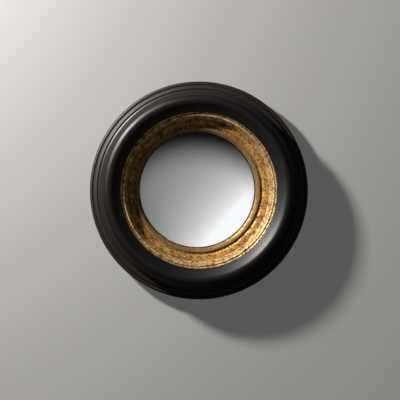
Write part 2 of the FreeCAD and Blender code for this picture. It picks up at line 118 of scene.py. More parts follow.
SLIP_BACK = -reach("gilt_sight_slip", 1, 1)
SLIP_OUTER = 76.5
SLIP_FLANGE = 2.7
SLIP_FLANGE_THICKNESS = 2.0
SLIP_GROOVE = 1.15
SLIP_FIT = 0.3
SIGHT = 71.9
PACKING_WIDTH = 9.6
GLASS_RIM = 74.2
SKIRT_BORE = 75.1
SLIP_FLOOR = 20.48
BEAD_SIDE = 0.25
BEAD_CREST = 75.8
BEAD_LEAN = 12.0
BEAD_ROLL = 1.1
DOME = 230.0
GLASS_THICKNESS = 3.0
COAT_GAP = 0.02
SILVER_THICKNESS = 0.06
PAINT_THICKNESS = 0.12

glass_low, glass_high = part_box("convex_glass")
SIGHT_CENTRE = Vector(((glass_low.x + glass_high.x) / 2, 0, (glass_low.z + glass_high.z) / 2))
GROOVE_CENTRE = SIGHT_CENTRE / 2
DOME_CENTRE = -glass_low.y / MM - DOME


# ---------------------------------------------------------------- turned sections
def arc(start, end, radius, bulge, spacing):
    """Points on the short arc from start to end, without its end."""
    chord = end - start
    left = Vector((-chord.y, chord.x)).normalized()
    centre = (start + end) / 2 - left * bulge * math.sqrt(radius**2 - (chord.length / 2) ** 2)
    first = start - centre
    sweep = first.angle_signed(end - centre)
    count = max(2, math.ceil(abs(sweep) * radius / spacing))
    return [centre + Matrix.Rotation(-sweep * n / count, 2) @ first for n in range(count)]


def straight(start, end, spacing):
    count = max(1, math.ceil((end - start).length / spacing))
    return [start.lerp(end, n / count) for n in range(count)]


def softened(points, closed, passes):
    """Wears every corner a little round."""
    for _ in range(passes):
        before = points[-1:] + points[:-1]
        after = points[1:] + points[:1]
        mild = [(a + b * 2 + c) / 4 for a, b, c in zip(before, points, after)]
        points = mild if closed else [points[0]] + mild[1:-1] + [points[-1]]
    return points


def relief_of(points, closed):
    """How sharply the section turns at each point: above 0 on edges, below 0 in hollows."""
    turns = []
    for number, point in enumerate(points):
        before = points[number - 1]
        after = points[(number + 1) % len(points)]
        into, out = point - before, after - point
        if into.length < 1e-6 or out.length < 1e-6 or (not closed and number in (0, len(points) - 1)):
            turns.append(0.0)
            continue
        turns.append(-into.angle_signed(out) / (into.length + out.length))
    for _ in range(2):
        turns = [
            (turns[n - 1] + 2 * turns[n] + turns[(n + 1) % len(turns)]) / 4
            for n in range(len(turns))
        ]
    return turns


def section(corners, spacing=0.5, hidden=(), crisp=(), coarse=4.0, closed=True, passes=2):
    """A half section as points, with each one's relief and how freely it may be tooled.
    A corner is (radius, height), and (radius, height, curve, ROUNDED or HOLLOW) starts an arc.
    The stretches that start at the hidden corners keep their exact place, and those that start
    at the crisp ones have closer points, which leaves their edges sharper."""
    points, free = [], []
    last = len(corners) if closed else len(corners) - 1
    for number in range(last):
        corner = corners[number]
        start = Vector(corner[:2])
        end = Vector(corners[(number + 1) % len(corners)][:2])
        gap = coarse if number in hidden else spacing / 3 if number in crisp else spacing
        if len(corner) == 2:
            stretch = straight(start, end, gap)
        else:
            stretch = arc(start, end, corner[2], corner[3], gap)
        points += stretch
        free += [0.0 if number in hidden else 1.0] * len(stretch)
    if not closed:
        points.append(Vector(corners[-1][:2]))
        free.append(free[-1])
    points = softened(points, closed, passes)
    reliefs = relief_of(points, closed)
    free = [min(free[n - 1], free[n], free[(n + 1) % len(free)]) for n in range(len(free))]
    rows = list(zip(points, reliefs, free))
    return rows + rows[:1] if closed else rows


def drift(rows, inner, outer):
    """How far each point of a section follows the sight opening's own centre: wholly within
    the inner radius, not at all beyond the outer one."""
    return [min(1.0, max(0.0, (outer - row[0].x) / (outer - inner))) for row in rows]


# ---------------------------------------------------------------- node helpers
def add(tree, kind, inputs=None, **settings):
    """A node with its settings, and its inputs by name or number: values, or outputs to link."""
    node = tree.nodes.new(kind)
    for name, value in settings.items():
        setattr(node, name, value)
    for key, value in (inputs or {}).items():
        socket = node.inputs[key]
        if isinstance(value, bpy.types.NodeSocket):
            tree.links.new(value, socket)
        else:
            socket.default_value = value
    return node


def made(tree, kind, inputs=None, **settings):
    """The first output of a new node."""
    return add(tree, kind, inputs, **settings).outputs[0]


def maths(tree, operation, *values):
    return made(tree, "ShaderNodeMath", dict(enumerate(values)), operation=operation)


def plus(tree, first, second):
    return maths(tree, "ADD", first, second)


def minus(tree, first, second):
    return maths(tree, "SUBTRACT", first, second)


def times(tree, first, second, more=0.0):
    """The product of two numbers, with a third added."""
    return maths(tree, "MULTIPLY_ADD", first, second, more)


def over(tree, first, second):
    return maths(tree, "DIVIDE", first, second)


def vectors(tree, operation, *values):
    return made(tree, "ShaderNodeVectorMath", dict(enumerate(values)), operation=operation)


def scaled(tree, vector, factor):
    return made(tree, "ShaderNodeVectorMath", {0: vector, "Scale": factor}, operation="SCALE")


def split(tree, vector):
    return add(tree, "ShaderNodeSeparateXYZ", {0: vector}).outputs


def joined(tree, x=0.0, y=0.0, z=0.0):
    return made(tree, "ShaderNodeCombineXYZ", {0: x, 1: y, 2: z})


def object_place(tree):
    return add(tree, "ShaderNodeTexCoord").outputs["Object"]


def mixed(tree, factor, low, high):
    """A number that goes from low to high."""
    return made(tree, "ShaderNodeMix", {0: factor, 2: low, 3: high})


def tinted(tree, factor, low, high):
    """A colour that goes from low to high."""
    node = add(tree, "ShaderNodeMix", {0: factor}, data_type="RGBA")
    for number, value in ((6, low), (7, high)):
        if isinstance(value, bpy.types.NodeSocket):
            tree.links.new(value, node.inputs[number])
        else:
            node.inputs[number].default_value = (*value, 1)
    return node.outputs[2]


def stepped(tree, value, start, end, low=0.0, high=1.0):
    """Goes smoothly from low to high as the value goes from start to end."""
    limits = {0: value, 1: start, 2: end, 3: low, 4: high}
    return made(tree, "ShaderNodeMapRange", limits, interpolation_type="SMOOTHSTEP")


def noise(tree, where, scale, detail=3.0, rough=0.5, seed=0.0, distortion=0.0):
    inputs = {"Vector": where, "W": seed, "Scale": scale}
    inputs.update({"Detail": detail, "Roughness": rough, "Distortion": distortion})
    return made(tree, "ShaderNodeTexNoise", inputs, noise_dimensions="4D")


def polar(tree, where, centre=(0, 0, 0)):
    """Radius, height and the direction from an axis along Y."""
    parts = split(tree, vectors(tree, "SUBTRACT", where, centre))
    flat = joined(tree, x=parts[0], z=parts[2])
    radius = add(tree, "ShaderNodeVectorMath", {0: flat}, operation="LENGTH").outputs[1]
    return radius, times(tree, parts[1], -1.0), vectors(tree, "NORMALIZE", flat)


# ---------------------------------------------------------------- geometry node trees
def new_tree(name, sockets):
    tree = bpy.data.node_groups.new(name, "GeometryNodeTree")
    tree.interface.new_socket("Geometry", in_out="INPUT", socket_type="NodeSocketGeometry")
    for label, kind in sockets:
        tree.interface.new_socket(label, in_out="INPUT", socket_type=f"NodeSocket{kind}")
    tree.interface.new_socket("Geometry", in_out="OUTPUT", socket_type="NodeSocketGeometry")
    return tree, add(tree, "NodeGroupInput").outputs


def end_tree(tree, geometry, material):
    real = made(tree, "GeometryNodeRealizeInstances", {"Geometry": geometry})
    named = add(tree, "GeometryNodeSetMaterial", {"Geometry": real, "Material": material})
    add(tree, "NodeGroupOutput", {0: named.outputs[0]})


def named_value(tree, name):
    return made(tree, "GeometryNodeInputNamedAttribute", {"Name": name}, data_type="FLOAT")


def sampled(tree, mesh, value, index, kind="FLOAT"):
    inputs = {"Geometry": mesh, "Value": value, "Index": index}
    return made(tree, "GeometryNodeSampleIndex", inputs, data_type=kind)


def carried(tree, geometry, name, value):
    """Gives every point of the geometry a named value."""
    inputs = {"Geometry": geometry, "Name": name, "Value": value}
    kind = {"data_type": "FLOAT", "domain": "POINT"}
    return made(tree, "GeometryNodeStoreNamedAttribute", inputs, **kind)


def tool_marks(tree, given, here):
    """How far each point stands out: ridges that run round the piece, and slow lumps."""
    radius, height, unit = polar(tree, vectors(tree, "SUBTRACT", here, given["Centre"]))
    parts = split(tree, unit)
    place = joined(tree, parts[0], times(tree, radius, given["Ridges"]), parts[2])
    level = times(tree, height, given["Ridges"], given["Seed"])
    ridge = minus(tree, noise(tree, place, 1.0, 2.0, seed=level), 0.5)
    lump = minus(tree, noise(tree, here, given["Lumps"], 2.0, seed=given["Seed"]), 0.5)
    ridge = times(tree, ridge, given["Ridge Depth"])
    depth = plus(tree, ridge, times(tree, lump, given["Lump Depth"]))
    return times(tree, depth, named_value(tree, "free"))


def turning_tree():
    """Turns a half section round the Y axis, with tool marks that run round it and a slight
    unevenness. The section's points are the incoming mesh, in order."""
    tree, given = new_tree(
        "Turned",
        [
            ("Steps Round", "Int"),
            ("Section Points", "Int"),
            ("Centre", "Vector"),
            ("Off Centre", "Vector"),
            ("Ridge Depth", "Float"),
            ("Ridges", "Float"),
            ("Lump Depth", "Float"),
            ("Lumps", "Float"),
            ("Seed", "Float"),
            ("Material", "Material"),
        ],
    )
    half_section, steps, count = given["Geometry"], given["Steps Round"], given["Section Points"]
    grid_size = {"Vertices X": plus(tree, steps, 1), "Vertices Y": count}
    body = made(tree, "GeometryNodeMeshGrid", grid_size)
    index = made(tree, "GeometryNodeInputIndex")
    column = maths(tree, "FLOOR", over(tree, plus(tree, index, 0.5), count))
    row = minus(tree, index, times(tree, column, count))
    angle = times(tree, over(tree, column, steps), math.tau)
    here = made(tree, "GeometryNodeInputPosition")
    parts = split(tree, sampled(tree, half_section, here, row, "FLOAT_VECTOR"))
    x = times(tree, parts[0], maths(tree, "COSINE", angle))
    z = times(tree, parts[0], maths(tree, "SINE", angle))
    share = sampled(tree, half_section, named_value(tree, "drift"), row)
    off = scaled(tree, given["Off Centre"], share)
    point = vectors(tree, "ADD", joined(tree, x, parts[1], z), off)
    point = vectors(tree, "ADD", point, given["Centre"])
    for name in ("relief", "free"):
        body = carried(tree, body, name, sampled(tree, half_section, named_value(tree, name), row))
    bent = made(tree, "GeometryNodeSetPosition", {"Geometry": body, "Position": point})
    closed = made(tree, "GeometryNodeMergeByDistance", {"Geometry": bent, "Distance": 1e-6})
    normal = made(tree, "GeometryNodeInputNormal")
    marks = scaled(tree, normal, tool_marks(tree, given, here))
    tooled = made(tree, "GeometryNodeSetPosition", {"Geometry": closed, "Offset": marks})
    smooth = made(tree, "GeometryNodeSetShadeSmooth", {"Geometry": tooled})
    end_tree(tree, smooth, given["Material"])
    return tree


def wire_tree():
    """Runs round wire along the incoming closed path."""
    tree, given = new_tree("BentWire", [("Wire Radius", "Float"), ("Material", "Material")])
    path = made(tree, "GeometryNodeMeshToCurve", {"Mesh": given["Geometry"]})
    gauge = {"Resolution": 24, "Radius": given["Wire Radius"]}
    ring = made(tree, "GeometryNodeCurvePrimitiveCircle", gauge)
    wire = made(tree, "GeometryNodeCurveToMesh", {"Curve": path, "Profile Curve": ring})
    smooth = made(tree, "GeometryNodeSetShadeSmooth", {"Geometry": wire})
    end_tree(tree, smooth, given["Material"])
    return tree


def screws_tree():
    """Sets a screw at each incoming point, turned about its own axis by the point's turn."""
    tree, given = new_tree("SetScrews", [("Screw", "Object"), ("Material", "Material")])
    screw = add(tree, "GeometryNodeObjectInfo", {"Object": given["Screw"]}).outputs["Geometry"]
    turn = joined(tree, y=named_value(tree, "turn"))
    inputs = {"Points": given["Geometry"], "Instance": screw, "Rotation": turn}
    placed = made(tree, "GeometryNodeInstanceOnPoints", inputs)
    end_tree(tree, placed, given["Material"])
    return tree


def linked(name, data):
    """A new object in the scene."""
    thing = bpy.data.objects.new(name, data)
    bpy.context.scene.collection.objects.link(thing)
    return thing


def run_tree(name, source_mesh, tree, values):
    """The tree's result for a mesh, as a new plain object."""
    carrier = linked(f"{name}_source", source_mesh)
    modifier = carrier.modifiers.new("Nodes", "NODES")
    modifier.node_group = tree
    for item in tree.interface.items_tree:
        if item.in_out == "INPUT" and item.name in values:
            modifier[item.identifier] = values[item.name]
    graph = bpy.context.evaluated_depsgraph_get()
    mesh = bpy.data.meshes.new_from_object(carrier.evaluated_get(graph))
    bpy.data.objects.remove(carrier)
    bpy.data.meshes.remove(source_mesh)
    mesh.name = name
    outward(mesh)
    return linked(name, mesh)


def outward(mesh):
    work = bmesh.new()
    work.from_mesh(mesh)
    bmesh.ops.recalc_face_normals(work, faces=work.faces)
    work.to_mesh(mesh)
    work.free()


def plain_mesh(name, points, edges=(), faces=()):
    mesh = bpy.data.meshes.new(name)
    mesh.from_pydata(points, edges, faces)
    return mesh


def loop_faces(pairs, size):
    """Faces between pairs of point loops, each of the same size."""
    faces = []
    for one, other in pairs:
        for step in range(size):
            after = (step + 1) % size
            faces.append((one * size + step, one * size + after, other * size + after, other * size + step))
    return faces


def set_values(mesh, name, values):
    attribute = mesh.attributes.new(name, "FLOAT", "POINT")
    attribute.data.foreach_set("value", values)


turned_rings = turning_tree()
bent_wires = wire_tree()
set_screws = screws_tree()


def turned(name, rows, material, steps=240, drifts=None, **values):
    """A turned piece. The values name the tree's inputs, with _ for a space."""
    mesh = plain_mesh(name, [(row[0].x * MM, -row[0].y * MM, 0) for row in rows])
    set_values(mesh, "relief", [row[1] for row in rows])
    set_values(mesh, "free", [row[2] for row in rows])
    set_values(mesh, "drift", drifts or [0.0] * len(rows))
    inputs = {
        "Steps Round": steps,
        "Section Points": len(rows),
        "Centre": (0.0, 0.0, 0.0),
        "Off Centre": (0.0, 0.0, 0.0),
        "Ridge Depth": 0.0,
        "Ridges": 900.0,
        "Lump Depth": 0.0,
        "Lumps": 200.0,
        "Seed": 0.0,
        "Material": material,
    }
    for label, value in values.items():
        inputs[label.replace("_", " ").title()] = value
    return run_tree(name, mesh, turned_rings, inputs)


def fitted(piece, body, slot, *nodes):
    """Rides on a body and stands for its CAD nodes. Its slot is not used."""
    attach(piece, body)
    if nodes:
        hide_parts(*nodes)
    return piece


# ---------------------------------------------------------------- shared finish groups
def new_group(name, inputs, outputs):
    group = bpy.data.node_groups.new(name, "ShaderNodeTree")
    for label, kind, value in inputs:
        socket = group.interface.new_socket(label, in_out="INPUT", socket_type=f"NodeSocket{kind}")
        socket.default_value = value
    for label, kind in outputs:
        group.interface.new_socket(label, in_out="OUTPUT", socket_type=f"NodeSocket{kind}")
    return group, add(group, "NodeGroupInput").outputs


def use(tree, group, **values):
    node = add(tree, "ShaderNodeGroup", node_tree=group)
    for label, value in values.items():
        socket = node.inputs[label.replace("_", " ").title()]
        if isinstance(value, bpy.types.NodeSocket):
            tree.links.new(value, socket)
        else:
            socket.default_value = value
    return node.outputs


def lathe_streaks_group():
    """Fine streaks that run round a turned piece. They close on themselves."""
    group, given = new_group(
        "LatheStreaks",
        [
            ("Around", "Float", 2.0),
            ("Across", "Float", 1500.0),
            ("Centre", "Vector", (0, 0, 0)),
            ("Seed", "Float", 0.0),
        ],
        [("Streaks", "Float")],
    )
    radius, height, unit = polar(group, object_place(group), given["Centre"])
    parts = split(group, unit)
    x, z = times(group, parts[0], given["Around"]), times(group, parts[2], given["Around"])
    place = joined(group, x, times(group, radius, given["Across"]), z)
    level = times(group, height, given["Across"], given["Seed"])
    add(group, "NodeGroupOutput", {0: noise(group, place, 1.0, 3.0, 0.6, seed=level)})
    return group


def specks_group():
    """Round specks of mixed sizes that gather in drifts."""
    group, given = new_group(
        "Specks",
        [
            ("Scale", "Float", 500.0),
            ("Amount", "Float", 0.5),
            ("Spare", "Float", 0.0),
            ("Gather", "Float", 60.0),
            ("Seed", "Float", 0.0),
        ],
        [("Mask", "Float")],
    )
    where, scale = object_place(group), given["Scale"]
    pushing = {"Vector": where, "Scale": times(group, scale, 0.8), "Detail": 2.0}
    pushed = add(group, "ShaderNodeTexNoise", pushing).outputs["Color"]
    bent = vectors(group, "ADD", where, scaled(group, pushed, over(group, 0.6, scale)))
    grid = {"Vector": bent, "W": given["Seed"], "Scale": scale}
    cells = add(group, "ShaderNodeTexVoronoi", grid, voronoi_dimensions="4D").outputs
    chance = made(group, "ShaderNodeSeparateColor", {0: cells["Color"]})
    drifts = noise(group, where, given["Gather"], 3.0, 0.6, seed=given["Seed"])
    size = minus(group, times(group, chance, drifts), given["Spare"])
    gap = minus(group, times(group, size, given["Amount"]), cells["Distance"])
    add(group, "NodeGroupOutput", {0: stepped(group, gap, -0.08, 0.10)})
    return group


def edge_wear_group():
    """Rubbed edges and filled hollows, broken up by noise, from a turned piece's relief."""
    group, given = new_group(
        "EdgeWear",
        [("Wear", "Float", 0.5), ("Fill", "Float", 0.5), ("Seed", "Float", 0.0)],
        [("Rubbed", "Float"), ("Filled", "Float")],
    )
    where = object_place(group)
    relief = add(group, "ShaderNodeAttribute", attribute_name="relief").outputs["Fac"]
    broken = noise(group, where, 260.0, 4.0, 0.65, seed=given["Seed"])
    slow = noise(group, where, 45.0, 2.0, 0.5, seed=given["Seed"])
    shaken = times(group, relief, times(group, broken, 0.7, times(group, slow, 0.6)))
    rubbed = stepped(group, times(group, shaken, given["Wear"]), 0.05, 0.45)
    filled = stepped(group, times(group, shaken, given["Fill"]), -0.14, -0.50)
    add(group, "NodeGroupOutput", {0: rubbed, 1: filled})
    return group


lathe_streaks = lathe_streaks_group()
specks = specks_group()
edge_wear = edge_wear_group()


# ---------------------------------------------------------------- materials
def new_material(name):
    material = bpy.data.materials.new(name)
    material.use_nodes = True
    return material, material.node_tree


def wire_up(material, **links):
    """Links outputs to the shader's sockets, or sets them. Names have _ for a space."""
    for label, value in links.items():
        socket = material.node_tree.nodes["Principled BSDF"].inputs[label.replace("_", " ")]
        if isinstance(value, bpy.types.NodeSocket):
            material.node_tree.links.new(value, socket)
        elif isinstance(value, tuple):
            socket.default_value = (*value, 1)
        else:
            socket.default_value = value
    return material


def bump(tree, height, distance, strength=1.0):
    node = add(tree, "ShaderNodeBump", {"Height": height, "Distance": distance, "Strength": strength})
    return node.outputs[0]


# Tones as linear colours. Places on the frame are millimetres from its rim, its nose or the wall.
BLACKS = (0.0014, 0.0012, 0.0011), (0.0052, 0.0036, 0.0030)
UNDERTONE = (0.030, 0.017, 0.010)
# A grey on the outer mouldings: partly dust, partly a painted reflection of the lit surroundings on the
# steep outer face.
HAZE_AND_REFLECTION = (0.020, 0.0165, 0.012)
HAZE_AND_REFLECTION_FROM, HAZE_AND_REFLECTION_FULL = RIM - 20.0, RIM - 16.5
OUTER_STEP_FROM, OUTER_STEP_FULL = RIM - 12.0, RIM - 9.5
BLACK_LAPS_FROM, BLACK_LAPS_TO = FRAME_BACK + 2.6, FRAME_BACK + 1.1
STAINED_BACK = (0.020, 0.012, 0.007), (0.075, 0.045, 0.026)
STRAY_LEAF = (0.36, 0.20, 0.07)
STRAY_TO, STRAY_FROM = nose_radius + 2.6, nose_radius + 0.4


def ebonised_wood():
    """Turned wood under a thin satin black, with brush lines, a brown undertone, a grey haze on
    the outer mouldings that is partly dust and partly a painted reflection of the lit surroundings,
    stray flecks of leaf beside the gilding and a stained bare back."""
    material, tree = new_material("ebonised_wood")
    where = object_place(tree)
    radius, height, _ = polar(tree, where)
    fine = use(tree, lathe_streaks, around=3.0, across=2600.0, seed=2.0)[0]
    broad = use(tree, lathe_streaks, around=1.2, across=420.0, seed=7.0)[0]
    scratches = use(tree, lathe_streaks, around=14.0, across=4200.0, seed=11.0)[0]
    wear = use(tree, edge_wear, wear=1.2, fill=1.0, seed=3.0)
    mottle = noise(tree, where, 38.0, 4.0, 0.6, seed=1.0)
    black = tinted(tree, stepped(tree, broad, 0.35, 0.7), *BLACKS)
    black = tinted(tree, times(tree, wear["Rubbed"], 0.5), black, UNDERTONE)
    # Painted reflection: the outer mouldings are lightened towards grey, partly as dust and partly to stand
    # in for reflected light on the steep outer face.
    haze_and_reflection = stepped(tree, radius, HAZE_AND_REFLECTION_FROM * MM, HAZE_AND_REFLECTION_FULL * MM, 0.0, 0.6)
    haze_and_reflection = times(tree, haze_and_reflection, stepped(tree, fine, 0.25, 0.75, 0.55, 1.3))
    black = tinted(tree, haze_and_reflection, black, HAZE_AND_REFLECTION)
    lap = times(tree, noise(tree, where, 90.0, 4.0, 0.7, seed=5.0), 0.0026, height)
    bare = stepped(tree, lap, BLACK_LAPS_FROM * MM, BLACK_LAPS_TO * MM)
    grain_place = vectors(tree, "MULTIPLY", where, (900.0, 500.0, 26.0))
    grain = noise(tree, grain_place, 1.0, 4.0, 0.6, seed=4.0)
    flecks = use(tree, specks, scale=620.0, amount=2.2, spare=0.42, gather=80.0, seed=12.0)["Mask"]
    beside = stepped(tree, radius, STRAY_TO * MM, STRAY_FROM * MM)
    stray = times(tree, times(tree, flecks, beside), minus(tree, 1.0, bare))
    colour = tinted(tree, bare, black, tinted(tree, grain, *STAINED_BACK))
    gloss = times(tree, mottle, 0.08, times(tree, fine, 0.26, 0.27))
    outer_step = stepped(tree, radius, OUTER_STEP_FROM * MM, OUTER_STEP_FULL * MM, 0.0, 0.10)
    ridges = times(tree, scratches, 0.6, plus(tree, fine, times(tree, broad, 4.0)))
    return wire_up(
        material,
        Base_Color=tinted(tree, stray, colour, STRAY_LEAF),
        Roughness=mixed(tree, bare, plus(tree, gloss, outer_step), 0.72),
        Normal=bump(tree, mixed(tree, bare, ridges, grain), 0.00009, 0.7),
        Specular_IOR_Level=0.46,
    )


# Each leaf's tones: deep gold, middle gold, pale gold for rubbed places and for the painted highlight on
# the outer cove slope, bole, and wax that also paints the shade along the sight edge.
AGED_LEAF = (
    (0.54, 0.240, 0.046),
    (0.70, 0.400, 0.105),
    (0.96, 0.75, 0.41),
    (0.11, 0.032, 0.007),
    (0.026, 0.010, 0.004),
)
TANNED_LEAF = (
    (0.23, 0.118, 0.036),
    (0.33, 0.195, 0.068),
    (0.66, 0.49, 0.25),
    (0.06, 0.024, 0.010),
    (0.016, 0.008, 0.005),
)
BARE_GRAIN = (0.13, 0.075, 0.038), (0.30, 0.19, 0.105)
LEAF_ENDS_FROM, LEAF_ENDS_TO = 10.5, 8.5
# A darker band along the sight edge of the bead: painted shade where the bead meets the glass.
SIGHT_SHADE_TO, SIGHT_SHADE_FROM = SIGHT + 1.0, SIGHT + 0.4
# The outer cove slope is painted paler from this radius outward: a painted highlight standing in for the
# sheen of the lit slope, the same all round.
COVE_PAINTED_SHEEN_FROM = 86.5
PAINTED_SHEEN_WIDTH = 1.6


def gold_leaf(name, centre, tones, worn, sheen, metal, seed, painted_sheen_from=RIM):
    """Toned leaf over red-brown bole: painted paler beyond a radius as a painted highlight, specked,
    waxed in its hollows, darkened along the sight edge as painted shade, and worn to bare wood at the back."""
    material, tree = new_material(name)
    where = object_place(tree)
    radius, height, _ = polar(tree, where, centre)
    wear = use(tree, edge_wear, wear=1.3, fill=2.0, seed=seed)
    rubs = use(tree, lathe_streaks, around=30.0, across=420.0, centre=centre, seed=seed)[0]
    tone = noise(tree, where, 40.0, 3.0, 0.6, seed=seed)
    mottle = noise(tree, where, 380.0, 3.0, 0.6, seed=seed + 1)
    blotch = noise(tree, where, 150.0, 3.0, 0.65, seed=seed + 2)
    deep, mid, pale, bole, wax_and_shade_tone = tones
    gold = tinted(tree, stepped(tree, tone, 0.30, 0.70), deep, mid)
    # Painted highlight: the leaf goes paler beyond a radius on the outer cove slope, all round the ring.
    rubbed = stepped(tree, radius, painted_sheen_from * MM, (painted_sheen_from + PAINTED_SHEEN_WIDTH) * MM, 0.0, 0.45)
    for share in (
        rubbed,
        stepped(tree, mottle, 0.48, 0.72, 0.0, 0.6),
        times(tree, wear["Rubbed"], 0.6),
    ):
        gold = tinted(tree, share, gold, pale)
    through = plus(tree, times(tree, mottle, 0.45), times(tree, blotch, 0.55))
    through = times(tree, rubs, 0.22, through)
    spared = 0.10 * (1 - worn)
    bared = stepped(tree, through, 0.59 + spared, 0.71 + spared, 0.0, 0.85)
    dark = use(tree, specks, scale=640.0, amount=2.6 * worn, spare=0.14, gather=70.0, seed=seed + 3)
    wax_and_shade = maths(tree, "MAXIMUM", times(tree, wear["Filled"], 0.85), times(tree, dark["Mask"], 0.85))
    # Painted shade: the band along the sight edge is darkened with the wax tone, added to the real wax in
    # the hollows and specks.
    wax_and_shade = maths(tree, "MAXIMUM", wax_and_shade, stepped(tree, radius, SIGHT_SHADE_TO * MM, SIGHT_SHADE_FROM * MM, 0.0, 0.5))
    colour = tinted(tree, wax_and_shade, tinted(tree, bared, gold, bole), wax_and_shade_tone)
    covered = minus(tree, 1.0, maths(tree, "MAXIMUM", times(tree, bared, 0.8), wax_and_shade))
    end = times(tree, blotch, 0.003, height)
    raw = stepped(tree, end, LEAF_ENDS_FROM * MM, LEAF_ENDS_TO * MM)
    grain_place = vectors(tree, "MULTIPLY", where, (700.0, 400.0, 24.0))
    grain = noise(tree, grain_place, 1.0, 4.0, 0.6, seed=seed)
    covered = times(tree, covered, minus(tree, 1.0, raw))
    gloss = times(tree, minus(tree, blotch, 0.5), 0.16, mixed(tree, covered, 0.62, sheen))
    surface = minus(tree, times(tree, mottle, 0.6, blotch), times(tree, wax_and_shade, 0.5))
    return wire_up(
        material,
        Base_Color=tinted(tree, raw, colour, tinted(tree, grain, *BARE_GRAIN)),
        Metallic=times(tree, covered, metal),
        Roughness=gloss,
        Normal=bump(tree, surface, 0.00016, 0.6),
    )


def clear_glass():
    material, tree = new_material("convex_glass")
    where = object_place(tree)
    wipe = noise(tree, vectors(tree, "MULTIPLY", where, (60.0, 60.0, 25.0)), 1.0, 4.0, 0.7, seed=2.0)
    return wire_up(
        material,
        Base_Color=(0.988, 0.99, 0.992),
        Roughness=stepped(tree, wipe, 0.5, 0.9, 0.0, 0.03),
        IOR=1.5,
        Transmission_Weight=1.0,
    )


def silver_film():
    material, tree = new_material("silver_film")
    where = object_place(tree)
    cloud = noise(tree, where, 22.0, 3.0, 0.6, seed=9.0)
    colour = tinted(tree, cloud, (0.93, 0.935, 0.94), (0.95, 0.955, 0.955))
    return wire_up(material, Base_Color=colour, Metallic=1.0, Roughness=0.015)


def grained(name, grain, tones, roughness, depth):
    """A plain finish whose tone, gloss and surface follow one fine pattern."""
    material, tree = new_material(name)
    scale, detail, rough, seed = grain
    pattern = noise(tree, object_place(tree), scale, detail, rough, seed=seed)
    return wire_up(
        material,
        Base_Color=tinted(tree, pattern, *tones),
        Roughness=mixed(tree, pattern, *roughness),
        Normal=bump(tree, pattern, depth),
    )


def backing_paint():
    tones = (0.14, 0.145, 0.15), (0.22, 0.225, 0.23)
    return grained("mirror_backing_paint", (120.0, 4.0, 0.7, 3.0), tones, (0.45, 0.65), 0.0001)


def bumper_rubber():
    tones = (0.018, 0.018, 0.018), (0.045, 0.045, 0.046)
    return grained("bumper_rubber", (1800.0, 3.0, 0.6, 2.0), tones, (0.62, 0.85), 0.00006)


def felt():
    material, tree = new_material("packing_felt")
    where = object_place(tree)
    hairs = noise(tree, where, 1400.0, 4.0, 0.8, seed=5.0, distortion=2.0)
    colour = tinted(tree, hairs, (0.05, 0.05, 0.055), (0.24, 0.24, 0.25))
    return wire_up(material, Base_Color=colour, Roughness=0.95, Normal=bump(tree, hairs, 0.0004))


def hardboard():
    material, tree = new_material("hardboard")
    where = object_place(tree)
    fibre_place = vectors(tree, "MULTIPLY", where, (500.0, 900.0, 500.0))
    fibres = noise(tree, fibre_place, 1.0, 5.0, 0.75, seed=6.0, distortion=2.5)
    cloud = noise(tree, where, 26.0, 4.0, 0.6, seed=8.0)
    flecks = use(tree, specks, scale=420.0, amount=0.9, gather=90.0, seed=4.0)["Mask"]
    colour = tinted(tree, cloud, (0.16, 0.082, 0.038), (0.25, 0.135, 0.066))
    colour = tinted(tree, stepped(tree, fibres, 0.4, 0.75), colour, (0.36, 0.21, 0.11))
    colour = tinted(tree, times(tree, flecks, 0.4), colour, (0.07, 0.034, 0.016))
    return wire_up(
        material,
        Base_Color=colour,
        Roughness=mixed(tree, cloud, 0.42, 0.6),
        Normal=bump(tree, fibres, 0.00008, 0.7),
    )


def zinc_steel():
    material, tree = new_material("zinc_plated_steel")
    where = object_place(tree)
    spangle = add(tree, "ShaderNodeTexVoronoi", {"Vector": where, "Scale": 900.0}).outputs["Color"]
    grey = made(tree, "ShaderNodeSeparateColor", {0: spangle})
    scuff_place = vectors(tree, "MULTIPLY", where, (2600.0, 900.0, 300.0))
    scuffs = noise(tree, scuff_place, 1.0, 4.0, 0.7, seed=3.0)
    bloom = noise(tree, where, 240.0, 4.0, 0.65, seed=6.0)
    colour = tinted(tree, grey, (0.46, 0.46, 0.45), (0.60, 0.60, 0.58))
    colour = tinted(tree, stepped(tree, bloom, 0.52, 0.8), colour, (0.40, 0.36, 0.28))
    return wire_up(
        material,
        Base_Color=colour,
        Metallic=mixed(tree, stepped(tree, bloom, 0.6, 0.85), 1.0, 0.6),
        Roughness=times(tree, scuffs, 0.22, 0.24),
        Normal=bump(tree, scuffs, 0.00003),
    )


black_finish = ebonised_wood()
aged = {"worn": 1.0, "sheen": 0.56, "metal": 0.88, "seed": 1.0, "painted_sheen_from": COVE_PAINTED_SHEEN_FROM}
cove_finish = gold_leaf("gold_leaf", GROOVE_CENTRE, AGED_LEAF, **aged)
tanned = {"worn": 0.45, "sheen": 0.46, "metal": 0.75, "seed": 5.0}
bead_finish = gold_leaf("gold_leaf_bead", SIGHT_CENTRE, TANNED_LEAF, **tanned)
glass_finish = clear_glass()
silver_finish = silver_film()
paint_finish = backing_paint()
felt_finish = felt()
board_finish = hardboard()
steel_finish = zinc_steel()
rubber_finish = bumper_rubber()


